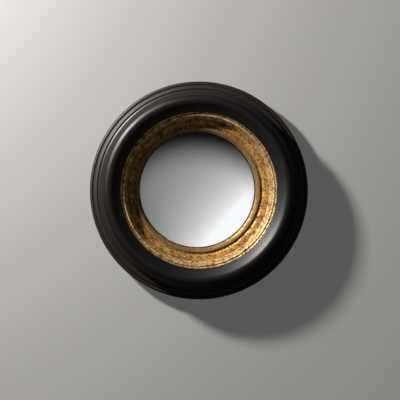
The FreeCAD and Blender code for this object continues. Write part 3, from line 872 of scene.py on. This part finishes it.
# ---------------------------------------------------------------- black turned frame
def black_frame():
    bead_inner = RIM - EDGE_BEAD
    quirk = bead_inner - QUIRK_HALF
    ovolo_outer = quirk - QUIRK_HALF
    ovolo_inner = ovolo_outer - OVOLO_WIDTH
    groove = ovolo_inner - GROOVE_OUTER
    fillet_outer = groove - GROOVE_INNER
    fillet_inner = fillet_outer - FILLET_WIDTH
    steep_head = fillet_inner - STEEP_RUN
    ogee_head = steep_head - CREST_RUN
    nose = nose_radius
    rebate = nose + LEDGE_WIDTH
    rows = section(
        [
            (rebate, FRAME_BACK),
            (RIM - BACK_ARRIS, FRAME_BACK),
            (RIM, FRAME_BACK + BACK_ARRIS),
            (RIM, FRAME_BACK + EDGE_SIDE, EDGE_BEAD, ROUNDED),
            (bead_inner, FRAME_BACK + EDGE_SIDE + EDGE_BEAD),
            (quirk, QUIRK_FLOOR),
            (ovolo_outer, OVOLO_FOOT, OVOLO_CURVE, ROUNDED),
            (ovolo_inner, OVOLO_TOP),
            (groove, GROOVE_FLOOR),
            (fillet_outer, FILLET_TOP - FILLET_RISE, FILLET_CURVE, ROUNDED),
            (fillet_inner, FILLET_TOP),
            (steep_head, STEEP_TOP, CREST_CURVE, ROUNDED),
            (ogee_head, OGEE_TOP, OGEE_CURVE, HOLLOW),
            (nose, NOSE_TOP),
            (nose, NOSE_TOP - NOSE_DEPTH),
            (rebate, NOSE_TOP - NOSE_DEPTH),
        ],
        spacing=0.5, hidden=(0, 13, 14, 15), crisp=(7, 8, 9),
    )
    marks = {"ridge_depth": 0.00006, "lump_depth": 0.0001, "lumps": 40.0}
    ring = turned("black_frame_ring", rows, black_finish, steps=360, **marks)
    fitted(ring, "frame", "ebonised_wood", "ebonised_frame_ring")


black_frame()


# ---------------------------------------------------------------- gilt rings
def gilt_cove():
    lip_outer = nose_radius - NOSE_FIT
    lip_inner = lip_outer - LIP_WIDTH
    ridge_outer = lip_inner - BEAD_QUIRK
    ridge_inner = ridge_outer - RIDGE_WIDTH
    shelf_outer = ridge_inner - COVE_RUN
    shelf_inner = shelf_outer - SHELF_WIDTH
    outer = nose_radius + LEDGE_WIDTH - RING_FIT
    seat = NOSE_TOP - NOSE_DEPTH - RING_SEATING
    bore = SLIP_OUTER + SLIP_GROOVE
    arris = bore + ARRIS_WIDTH
    torus = arris + ARRIS_QUIRK
    well = SLIP_OUTER + SLIP_FLANGE + SLIP_FIT
    shelf_top = RIDGE_FOOT - COVE_RISE
    flange = SLIP_BACK + SLIP_FLANGE_THICKNESS
    rows = section(
        [
            (well, BOARD_FRONT),
            (BOARD_REBATE, BOARD_FRONT),
            (BOARD_REBATE, FRAME_BACK),
            (outer, FRAME_BACK),
            (outer, seat),
            (lip_outer, seat),
            (lip_outer, LIP_TOP),
            (lip_outer - LIP_EDGE, LIP_TOP),
            (lip_inner, LIP_TOP - LIP_RISE),
            (ridge_outer, LIP_TOP - LIP_RISE - BEAD_QUIRK, RIDGE_CURVE, ROUNDED),
            (ridge_inner, RIDGE_FOOT, COVE_CURVE, HOLLOW),
            (shelf_outer, shelf_top),
            (shelf_inner, shelf_top - SHELF_FALL, TORUS_CURVE, ROUNDED),
            (torus, ARRIS_TOP - ARRIS_QUIRK),
            (arris, ARRIS_TOP),
            (bore, ARRIS_TOP),
            (bore, flange),
            (well, flange),
        ],
        spacing=0.4, hidden=(0, 1, 2, 3, 4, 5, 16, 17), crisp=(6, 7, 8, 13, 14, 15), passes=1,
    )
    drifts = drift(rows, torus, ridge_inner)
    for number, (point, _, _) in enumerate(rows):
        if point.y < flange + 0.05 and point.x > well + 0.5:
            drifts[number] = 0.0
    place = {"drifts": drifts, "off_centre": tuple(GROOVE_CENTRE)}
    marks = {"lump_depth": 0.00016, "lumps": 260.0, "ridge_depth": 0.00008, "ridges": 1400.0}
    ring = turned("gilt_cove", rows, cove_finish, steps=420, seed=3.0, **place, **marks)
    fitted(ring, "frame", "gold_leaf", "gilt_cove_ring")


def sight_slip():
    flange = SLIP_OUTER + SLIP_FLANGE
    rows = section(
        [
            (SKIRT_BORE, SLIP_BACK),
            (flange, SLIP_BACK),
            (flange, SLIP_BACK + SLIP_FLANGE_THICKNESS),
            (SLIP_OUTER, SLIP_BACK + SLIP_FLANGE_THICKNESS),
            (SLIP_OUTER, SLIP_FLOOR + BEAD_SIDE, BEAD_ROLL, ROUNDED),
            (BEAD_CREST, -reach("gilt_sight_slip", 0, 1), BEAD_LEAN, ROUNDED),
            (SIGHT, SLIP_FLOOR + BEAD_SIDE),
            (SIGHT, SLIP_FLOOR),
            (SKIRT_BORE, SLIP_FLOOR),
        ],
        spacing=0.25, hidden=(0, 1, 2, 7, 8), coarse=1.0, passes=1,
    )
    place = {"centre": tuple(GROOVE_CENTRE), "off_centre": tuple(SIGHT_CENTRE - GROOVE_CENTRE)}
    marks = {"drifts": drift(rows, SIGHT, SLIP_OUTER), "lump_depth": 0.00012, "lumps": 300.0}
    ring = turned("gilt_slip", rows, bead_finish, steps=360, seed=8.0, **place, **marks)
    fitted(ring, "frame", "gold_leaf", "gilt_sight_slip")


gilt_cove()
sight_slip()


# ---------------------------------------------------------------- glass and its coats
def dome_height(radius, out):
    return DOME_CENTRE + math.sqrt(radius**2 - out**2)


def domed(name, front, back, material, slot, node, spacing):
    """A domed disc between two spheres about one centre."""
    rows = section(
        [
            (0, dome_height(back, 0), back, HOLLOW),
            (GLASS_RIM, dome_height(back, GLASS_RIM)),
            (GLASS_RIM, dome_height(front, GLASS_RIM), front, ROUNDED),
            (0, dome_height(front, 0)),
        ],
        spacing=spacing, closed=False, passes=0,
    )
    disc = turned(name, rows, material, steps=256, centre=tuple(SIGHT_CENTRE))
    fitted(disc, "frame", slot, node)


glass_back = DOME - GLASS_THICKNESS
silver_front = glass_back - COAT_GAP
silver_back = silver_front - SILVER_THICKNESS
paint_front = silver_back - COAT_GAP
paint_back = paint_front - PAINT_THICKNESS
domed("glass_dome", DOME, glass_back, glass_finish, "glass", "convex_glass", 1.2)
domed("silver_coat", silver_front, silver_back, silver_finish, "silvering", "silvering", 1.2)
domed("grey_backing_coat", paint_front, paint_back, paint_finish, "backing_paint", "backing_paint", 2.0)


# ---------------------------------------------------------------- packing, board and bumpers
PACKING_CORNER = 0.8
BOARD_EDGE = 0.5
BUMPER_EDGE = 0.8


def middle_of(node):
    """The point of the wall plane behind the middle of a node."""
    low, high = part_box(node)
    return Vector(((low.x + high.x) / 2, 0, (low.z + high.z) / 2))


def packing_ring():
    outer = reach("packing_ring", 1, 0) - middle_of("packing_ring").x / MM
    back = -reach("packing_ring", 1, 1)
    front = -reach("packing_ring", 0, 1)
    inner = outer - PACKING_WIDTH
    rows = section(
        [
            (inner + PACKING_CORNER, back),
            (outer - PACKING_CORNER, back, PACKING_CORNER, ROUNDED),
            (outer, back + PACKING_CORNER),
            (outer, front - PACKING_CORNER, PACKING_CORNER, ROUNDED),
            (outer - PACKING_CORNER, front),
            (inner + PACKING_CORNER, front, PACKING_CORNER, ROUNDED),
            (inner, front - PACKING_CORNER),
            (inner, back + PACKING_CORNER, PACKING_CORNER, ROUNDED),
        ],
        spacing=0.6, passes=0,
    )
    place = tuple(middle_of("packing_ring"))
    marks = {"lump_depth": 0.0002, "lumps": 420.0}
    ring = turned("packing_felt", rows, felt_finish, steps=180, centre=place, **marks)
    fitted(ring, "frame", "felt", "packing_ring")


def backing_board():
    outer = reach("backing_board", 1, 0)
    back = -reach("backing_board", 1, 1)
    rows = section(
        [
            (0, back),
            (outer - BOARD_EDGE, back, BOARD_EDGE, ROUNDED),
            (outer, back + BOARD_EDGE),
            (outer, BOARD_FRONT - BOARD_EDGE, BOARD_EDGE, ROUNDED),
            (outer - BOARD_EDGE, BOARD_FRONT),
            (0, BOARD_FRONT),
        ],
        spacing=0.2, hidden=(0, 4), closed=False, passes=0,
    )
    board = turned("rear_board", rows, board_finish, steps=240)
    fitted(board, "frame", "hardboard", "backing_board")


def wall_bumper(side):
    node = f"wall_bumper_{side}"
    centre = middle_of(node)
    outer = reach(node, 1, 0) - centre.x / MM
    rows = section(
        [
            (0, 0),
            (outer - BUMPER_EDGE, 0, BUMPER_EDGE, ROUNDED),
            (outer, BUMPER_EDGE),
            (outer, FRAME_BACK),
            (0, FRAME_BACK),
        ],
        spacing=0.2, hidden=(0, 2, 3), coarse=1.0, closed=False, passes=0,
    )
    pad = turned(f"bumper_pad_{side}", rows, rubber_finish, steps=64, centre=tuple(centre))
    fitted(pad, "frame", "bumper_rubber", node)


packing_ring()
backing_board()
for side in ("left", "right"):
    wall_bumper(side)


# ---------------------------------------------------------------- screws
SHANK = 1.55
SHANK_TIP = 1.4
HEAD_DOME = 4.5
SLOT_WIDTH = 0.8
SLOT_DEPTH = 0.7
SCREW_POINT = 0.2
BUTTON_HEAD = 3.1
STRAP_HEAD = 2.9
BUTTON_HEAD_GAP = 0.1
STRAP_LAYERS = 2.0
LOWER_SCREW = 108.972
UPPER_SCREW = 115.972


def crisp_edges(mesh, degrees=35):
    mesh.set_sharp_from_angle(angle=math.radians(degrees))


def dome_edge(top, head):
    return top + HEAD_DOME - math.sqrt(HEAD_DOME**2 - head**2)


def slotted_screw(top, under, head, tip):
    """One domed, slotted wood screw on the Y axis, with its head towards the wall."""
    rows = section(
        [
            (0, top, HEAD_DOME, ROUNDED),
            (head, dome_edge(top, head)),
            (head, under),
            (SHANK, under),
            (SHANK, tip - SHANK_TIP),
            (SCREW_POINT, tip),
            (0, tip),
        ],
        spacing=0.35, hidden=(3, 4, 5), closed=False, passes=0,
    )
    screw = turned("screw", rows, steel_finish, steps=40)
    work = bmesh.new()
    bmesh.ops.create_cube(work, size=1.0)
    low, high = -(top + SLOT_DEPTH) * MM, MM
    bmesh.ops.scale(work, vec=(head * 4 * MM, high - low, SLOT_WIDTH * MM), verts=work.verts)
    bmesh.ops.translate(work, vec=(0, (low + high) / 2, 0), verts=work.verts)
    cutter = linked("driver_slot", bpy.data.meshes.new("driver_slot"))
    work.to_mesh(cutter.data)
    work.free()
    cut = screw.modifiers.new("Slot", "BOOLEAN")
    cut.operation = "DIFFERENCE"
    cut.solver = "EXACT"
    cut.object = cutter
    graph = bpy.context.evaluated_depsgraph_get()
    whole = screw.data
    screw.data = bpy.data.meshes.new_from_object(screw.evaluated_get(graph))
    screw.modifiers.clear()
    bpy.data.objects.remove(cutter)
    bpy.data.meshes.remove(whole)
    crisp_edges(screw.data)
    return screw


def screw_set(name, node, places, head, turns):
    """Screws at the places, each with its slot turned its own way."""
    top = -reach(node, 1, 1)
    tip = -reach(node, 0, 1)
    screw = slotted_screw(top, HEAD_UNDER[node], head, tip)
    points = plain_mesh(name, places)
    set_values(points, "turn", turns)
    screws = run_tree(name, points, set_screws, {"Screw": screw, "Material": steel_finish})
    bpy.data.objects.remove(screw)
    fitted(screws, "frame", "zinc_steel", node)


joints = {joint["child"]: joint for joint in frame["record"]["behaviour"]["joints"]}
buttons = [child for child in joints if child.startswith("turn_button")]
pivots = {button: Vector(joints[button]["pos_m"]) for button in buttons}
HEAD_UNDER = {
    "turn_button_screws": -reach(buttons[0], 1, 1) - BUTTON_HEAD_GAP,
    "hanger_screws": FRAME_BACK - STRAP_LAYERS,
}

slots = random.Random(7)
screw_set(
    "button_screws",
    "turn_button_screws",
    [(pivots[button].x, 0, pivots[button].z) for button in buttons],
    BUTTON_HEAD,
    [slots.uniform(0, math.pi) for _ in buttons],
)
screw_set(
    "strap_screws",
    "hanger_screws",
    [(0, 0, LOWER_SCREW * MM), (0, 0, UPPER_SCREW * MM)],
    STRAP_HEAD,
    [slots.uniform(0, math.pi) for _ in range(2)],
)


# ---------------------------------------------------------------- turn buttons
BUTTON_BOSS = 4.6
BUTTON_TIP = 2.6
BUTTON_REACH = 14.0
BUTTON_HOLE = 1.6
BUTTON_EDGE = 0.25
BOSS_STEPS = 26
TIP_STEPS = 14


def button_outline(inset):
    """The button's outline about its pivot, with its tip along -X."""
    lean = math.acos((BUTTON_BOSS - BUTTON_TIP) / BUTTON_REACH)
    points = []
    for number in range(BOSS_STEPS):
        turn = math.pi - lean - (math.tau - 2 * lean) * number / (BOSS_STEPS - 1)
        points.append(Vector((math.cos(turn), math.sin(turn))) * (BUTTON_BOSS - inset))
    for number in range(TIP_STEPS):
        turn = math.pi + lean - 2 * lean * number / (TIP_STEPS - 1)
        tip = Vector((math.cos(turn), math.sin(turn))) * (BUTTON_TIP - inset)
        points.append(tip - Vector((BUTTON_REACH, 0)))
    return points


def pressed_steel(name, points, faces, crisp_from):
    """A smooth steel piece that stays crisp where it turns by more than some degrees."""
    mesh = plain_mesh(name, points, faces=faces)
    mesh.materials.append(steel_finish)
    mesh.shade_smooth()
    outward(mesh)
    crisp_edges(mesh, crisp_from)
    return linked(name, mesh)


def turn_button(button):
    """A pressed steel button with eased edges round its outline and its hole."""
    pivot = pivots[button]
    back = -reach(button, 1, 1)
    front = -reach(button, 0, 1)
    rim = button_outline(0)
    shrunk = button_outline(BUTTON_EDGE)
    hole = [point.normalized() * BUTTON_HOLE for point in rim]
    flared = [point.normalized() * (BUTTON_HOLE + BUTTON_EDGE) for point in rim]
    loops = [
        (shrunk, back),
        (rim, back + BUTTON_EDGE),
        (rim, front - BUTTON_EDGE),
        (shrunk, front),
        (flared, front),
        (hole, front - BUTTON_EDGE),
        (hole, back + BUTTON_EDGE),
        (flared, back),
    ]
    turn = Matrix.Rotation(math.atan2(pivot.z, pivot.x), 2)
    points = []
    for outline, height in loops:
        for point in outline:
            flat = turn @ point
            points.append((pivot.x + flat.x * MM, -height * MM, pivot.z + flat.y * MM))
    pairs = [(number, (number + 1) % len(loops)) for number in range(len(loops))]
    piece = pressed_steel(f"{button}_steel", points, loop_faces(pairs, len(rim)), 50)
    fitted(piece, button, "zinc_steel", button)


for button in buttons:
    turn_button(button)


# ---------------------------------------------------------------- strap and hanging ring
STRAP_WIDTH = 14.0
STRAP_SHEET = 1.0
STRAP_EDGE = 0.22
STRAP_GAP = 0.03
STRAP_SHOULDER = UPPER_SCREW + 2.6
SHOULDER_SLOPE = 2.0
FOOT_MARGIN = 0.05
FOOT_STEPS = 14
BEND_RUN = 1.3
EYE_TURN = math.pi * 1.5
EYE_STEPS = 30
EYE_WIDTH = 9.6
WIRE = 1.1
RING_BOW = 7.5
RING_CORNER = 2.0
EYE = Vector((joints["hanger_ring"]["pos_m"][2] / MM, -joints["hanger_ring"]["pos_m"][1] / MM))
EYE_BORE = 1.18


def strap_half_width(up):
    """Half the strap's width at a height up the frame."""
    half, neck = STRAP_WIDTH / 2, EYE_WIDTH / 2
    if up < LOWER_SCREW:
        return math.sqrt(max(0.3, half**2 - (LOWER_SCREW - up) ** 2))
    return min(half, max(neck, half - (up - STRAP_SHOULDER) * SHOULDER_SLOPE))


def strap_path():
    """The middle of the folded sheet as (height up the frame, height above the wall)."""
    fold = EYE_BORE + STRAP_SHEET / 2
    inner = FRAME_BACK - STRAP_SHEET / 2
    outer = inner - STRAP_SHEET - STRAP_GAP
    reach_down = STRAP_WIDTH / 2 - FOOT_MARGIN
    bend = EYE - Vector((fold + BEND_RUN, 0))
    wall_side, frame_side = [], straight(Vector((EYE.x, inner)), Vector((LOWER_SCREW, inner)), 0.5)
    for number in range(FOOT_STEPS):
        turn = math.pi / 2 * number / FOOT_STEPS
        wall_side.append(Vector((LOWER_SCREW - reach_down * math.cos(turn), outer)))
    for number in range(FOOT_STEPS + 1):
        turn = math.pi / 2 * number / FOOT_STEPS
        frame_side.append(Vector((LOWER_SCREW - reach_down * math.sin(turn), inner)))
    wall_side += straight(Vector((LOWER_SCREW, outer)), Vector((bend.x, outer)), 0.5)
    wall_side += straight(Vector((bend.x, outer)), EYE - Vector((fold, 0)), 0.3)
    turns = [math.pi + EYE_TURN * number / EYE_STEPS for number in range(EYE_STEPS)]
    eye = [EYE + Vector((math.cos(turn), math.sin(turn))) * fold for turn in turns]
    return softened(wall_side + eye + frame_side, False, 3)


def hanger_strap():
    """A steel strip folded round the ring, with its two layers lying together."""
    path = strap_path()
    half = STRAP_SHEET / 2
    points = []
    for number, middle in enumerate(path):
        along = path[min(number + 1, len(path) - 1)] - path[max(number - 1, 0)]
        side = Vector((-along.y, along.x)).normalized()
        width = strap_half_width(middle.x)
        ring = [
            (-width, half - STRAP_EDGE),
            (-width + STRAP_EDGE, half),
            (width - STRAP_EDGE, half),
            (width, half - STRAP_EDGE),
            (width, STRAP_EDGE - half),
            (width - STRAP_EDGE, -half),
            (STRAP_EDGE - width, -half),
            (-width, STRAP_EDGE - half),
        ]
        for across, out in ring:
            spot = middle + side * out
            points.append((across * MM, -spot.y * MM, spot.x * MM))
    size = len(ring)
    faces = loop_faces([(number, number + 1) for number in range(len(path) - 1)], size)
    faces.append(tuple(range(size)))
    faces.append(tuple(reversed(range(len(points) - size, len(points)))))
    piece = pressed_steel("folded_strap", points, faces, 40)
    fitted(piece, "frame", "zinc_steel", "hanger_strap")


def hanging_ring():
    """A D of round wire whose straight bar lies in the strap's eye."""
    bar = RING_BOW - RING_CORNER
    shoulder = EYE.x + RING_CORNER
    right = Vector((RING_BOW, shoulder))
    left = Vector((-RING_BOW, shoulder))
    crown = Vector((0, shoulder + RING_BOW))
    path = straight(Vector((-bar, EYE.x)), Vector((bar, EYE.x)), 1.0)
    path += arc(Vector((bar, EYE.x)), right, RING_CORNER, ROUNDED, 0.3)
    path += arc(right, crown, RING_BOW, ROUNDED, 0.6)
    path += arc(crown, left, RING_BOW, ROUNDED, 0.6)
    path += arc(left, Vector((-bar, EYE.x)), RING_CORNER, ROUNDED, 0.3)
    points = [(point.x * MM, -EYE.y * MM, point.y * MM) for point in path]
    edges = [(n, (n + 1) % len(points)) for n in range(len(points))]
    mesh = plain_mesh("hanging_ring", points, edges)
    gauge = {"Wire Radius": WIRE * MM, "Material": steel_finish}
    ring = run_tree("hanging_ring", mesh, bent_wires, gauge)
    fitted(ring, "hanger_ring", "zinc_steel", "hanger_ring")


hanger_strap()
hanging_ring()


# ---------------------------------------------------------------- stage, light and camera
WALL_HALF = 1.6
WALL_PLACE = 0.0004
WALL_OPENING = 0.137
WALL_STEPS = 64
FLOOR_DROP = -1.2
FLOOR_HALF = 6.0
WALL_HIDDEN = (0.08, 0.08, 0.078)
WALL_SEEN = (0.315, 0.313, 0.308)
WALL_GLOW = 0.085


def stage_piece(name, points, faces, material, unseen_by=()):
    """A piece of the studio that some kinds of ray pass by."""
    mesh = plain_mesh(name, points, faces=faces)
    mesh.materials.append(material)
    piece = linked(name, mesh)
    for ray in unseen_by:
        setattr(piece, f"visible_{ray}", False)


def wall_paint():
    """Paint that the camera sees pale and only from the front, so that the mirror's back can be
    seen. The black sides of the frame show it darker."""
    material, tree = new_material("pale_wall")
    path = add(tree, "ShaderNodeLightPath").outputs["Is Camera Ray"]
    wire_up(
        material,
        Base_Color=tinted(tree, path, WALL_HIDDEN, WALL_SEEN),
        Roughness=0.9,
        Emission_Color=(1.0, 0.99, 0.975),
        Emission_Strength=times(tree, path, WALL_GLOW),
    )
    front = tree.nodes["Principled BSDF"].outputs[0]
    output = tree.nodes["Material Output"]
    behind = add(tree, "ShaderNodeNewGeometry").outputs["Backfacing"]
    clear = made(tree, "ShaderNodeBsdfTransparent")
    both = made(tree, "ShaderNodeMixShader", {0: behind, 1: front, 2: clear})
    tree.links.new(both, output.inputs["Surface"])
    return material


def floor_paint():
    material, tree = new_material("pale_floor")
    return wire_up(material, Base_Color=(0.8, 0.8, 0.79), Roughness=0.8)


def wall():
    """A wall with a round piece behind the mirror that lets the light of the back view by."""
    paint = wall_paint()
    inner, outer = [], []
    for step in range(WALL_STEPS):
        turn = math.tau * step / WALL_STEPS
        across, up = math.cos(turn), math.sin(turn)
        side = WALL_HALF / max(abs(across), abs(up))
        inner.append((WALL_OPENING * across, WALL_PLACE, WALL_OPENING * up))
        outer.append((side * across, WALL_PLACE, max(FLOOR_DROP, side * up)))
    faces = [face[::-1] for face in loop_faces([(0, 1)], WALL_STEPS)]
    stage_piece("wall", inner + outer, faces, paint)
    unseen_by = ("diffuse", "glossy", "transmission", "shadow")
    stage_piece("wall_middle", inner, [tuple(range(WALL_STEPS))], paint, unseen_by)


def floor():
    half = FLOOR_HALF
    corners = [(x, y, FLOOR_DROP) for x, y in ((-half, -half), (half, -half), (half, half), (-half, half))]
    unseen_by = ("diffuse", "glossy", "transmission")
    stage_piece("floor", corners, [(0, 1, 2, 3)], floor_paint(), unseen_by)


wall()
floor()


def area_lamp(name, place, target, size, watts, colour):
    lamp = bpy.data.lights.new(name, "AREA")
    lamp.size = size
    lamp.energy = watts
    lamp.color = colour
    holder = linked(name, lamp)
    holder.location = place
    holder.rotation_euler = (Vector(target) - Vector(place)).to_track_quat("-Z", "Y").to_euler()


area_lamp("key", (-0.793, -0.48, 0.654), (0, -0.02, 0), 0.10, 28.0, (1.0, 0.975, 0.94))
area_lamp("back_fill", (0.9, 1.5, 0.9), (0, 0, 0), 0.9, 14.0, (1.0, 0.99, 0.97))

# The bounce that the glass shows: its brightness is the exponential of a slope and a curve
# towards the right and the top of a view turned by 45 degrees, within a soft-edged oval card.
BOUNCE_LEVEL = -0.877
BOUNCE_SLOPES = 1.322, 0.135
BOUNCE_CURVES = 0.627, -0.498
BOUNCE_MOST = 0.952
BOUNCE_GAIN, BOUNCE_FLOOR = 1.13, 0.005
CARD_CENTRE = -0.034, -0.274
CARD_HALVES = 1.086, 0.767
CARD_FADES_FROM, CARD_FADES_TO = 0.615, 1.385
BOUNCE_DIM, BOUNCE_BRIGHT = (1.0, 0.945, 0.915), (0.97, 0.99, 1.0)
FILL_COLOUR = (1.0, 0.87, 0.72, 1)
ROOM_COLOUR = (1.0, 0.84, 0.70, 1)
BACKDROP = (0.86, 0.86, 0.85, 1)


def studio():
    """A dim studio round the mirror, with the bright bounce at the lower right that the glass
    shows. The camera sees a pale backdrop."""
    world = bpy.data.worlds.new("studio")
    bpy.context.scene.world = world
    world.use_nodes = True
    tree = world.node_tree
    for node in list(tree.nodes):
        tree.nodes.remove(node)
    parts = split(tree, add(tree, "ShaderNodeTexCoord").outputs["Generated"])
    ahead = maths(tree, "MAXIMUM", times(tree, parts[1], -1.0), 0.03)
    across = over(tree, parts[0], ahead)
    up = over(tree, parts[2], ahead)
    to_right = times(tree, minus(tree, across, up), math.sqrt(0.5))
    to_top = times(tree, plus(tree, across, up), math.sqrt(0.5))
    rise = BOUNCE_LEVEL
    for side, slope, curve in zip((to_right, to_top), BOUNCE_SLOPES, BOUNCE_CURVES):
        rise = times(tree, side, slope, rise)
        rise = times(tree, times(tree, side, side), curve, rise)
    rise = maths(tree, "EXPONENT", maths(tree, "MINIMUM", rise, 0.5))
    bright = maths(tree, "MINIMUM", rise, BOUNCE_MOST)
    edge = 0.0
    for side, centre, half in zip((across, up), CARD_CENTRE, CARD_HALVES):
        edge = plus(tree, edge, maths(tree, "POWER", over(tree, minus(tree, side, centre), half), 2.0))
    card = stepped(tree, maths(tree, "SQRT", edge), CARD_FADES_FROM, CARD_FADES_TO, 1.0, 0.0)
    value = times(tree, times(tree, bright, card), BOUNCE_GAIN, BOUNCE_FLOOR)
    rear = stepped(tree, parts[1], 0.05, 0.35)
    rear_level = stepped(tree, parts[2], -0.6, 0.9, 0.16, 0.62)
    front_glow = times(tree, value, 0.14, 0.025)
    side_glow = stepped(tree, parts[1], -0.35, -0.1, 0.0, 0.07)
    glow = mixed(tree, rear, plus(tree, front_glow, side_glow), rear_level)
    bounce = tinted(tree, bright, BOUNCE_DIM, BOUNCE_BRIGHT)
    lights = {
        "fill": (FILL_COLOUR, mixed(tree, rear, 0.05, 0.30)),
        "Is Glossy Ray": (ROOM_COLOUR, glow),
        "Is Transmission Ray": (bounce, mixed(tree, rear, value, rear_level)),
        "Is Camera Ray": (BACKDROP, 1.0),
    }
    path = add(tree, "ShaderNodeLightPath").outputs
    whole = None
    for ray, (colour, level) in lights.items():
        light = made(tree, "ShaderNodeBackground", {"Color": colour, "Strength": level})
        if whole is not None:
            light = made(tree, "ShaderNodeMixShader", {0: path[ray], 1: whole, 2: light})
        whole = light
    add(tree, "ShaderNodeOutputWorld", {"Surface": whole})


studio()

CAMERA_PLACE = Vector((0.00136, -1.6, -0.0118))
SENSOR_WIDTH = 36.0
FOCAL_LENGTH = 115.4

lens = bpy.data.cameras.new("camera")
lens.sensor_width = SENSOR_WIDTH
lens.lens = FOCAL_LENGTH
camera = linked("camera", lens)
camera.location = CAMERA_PLACE
camera.rotation_euler = (math.pi / 2, 0, 0)
bpy.context.scene.camera = camera
bpy.context.scene.view_settings.view_transform = "Standard"
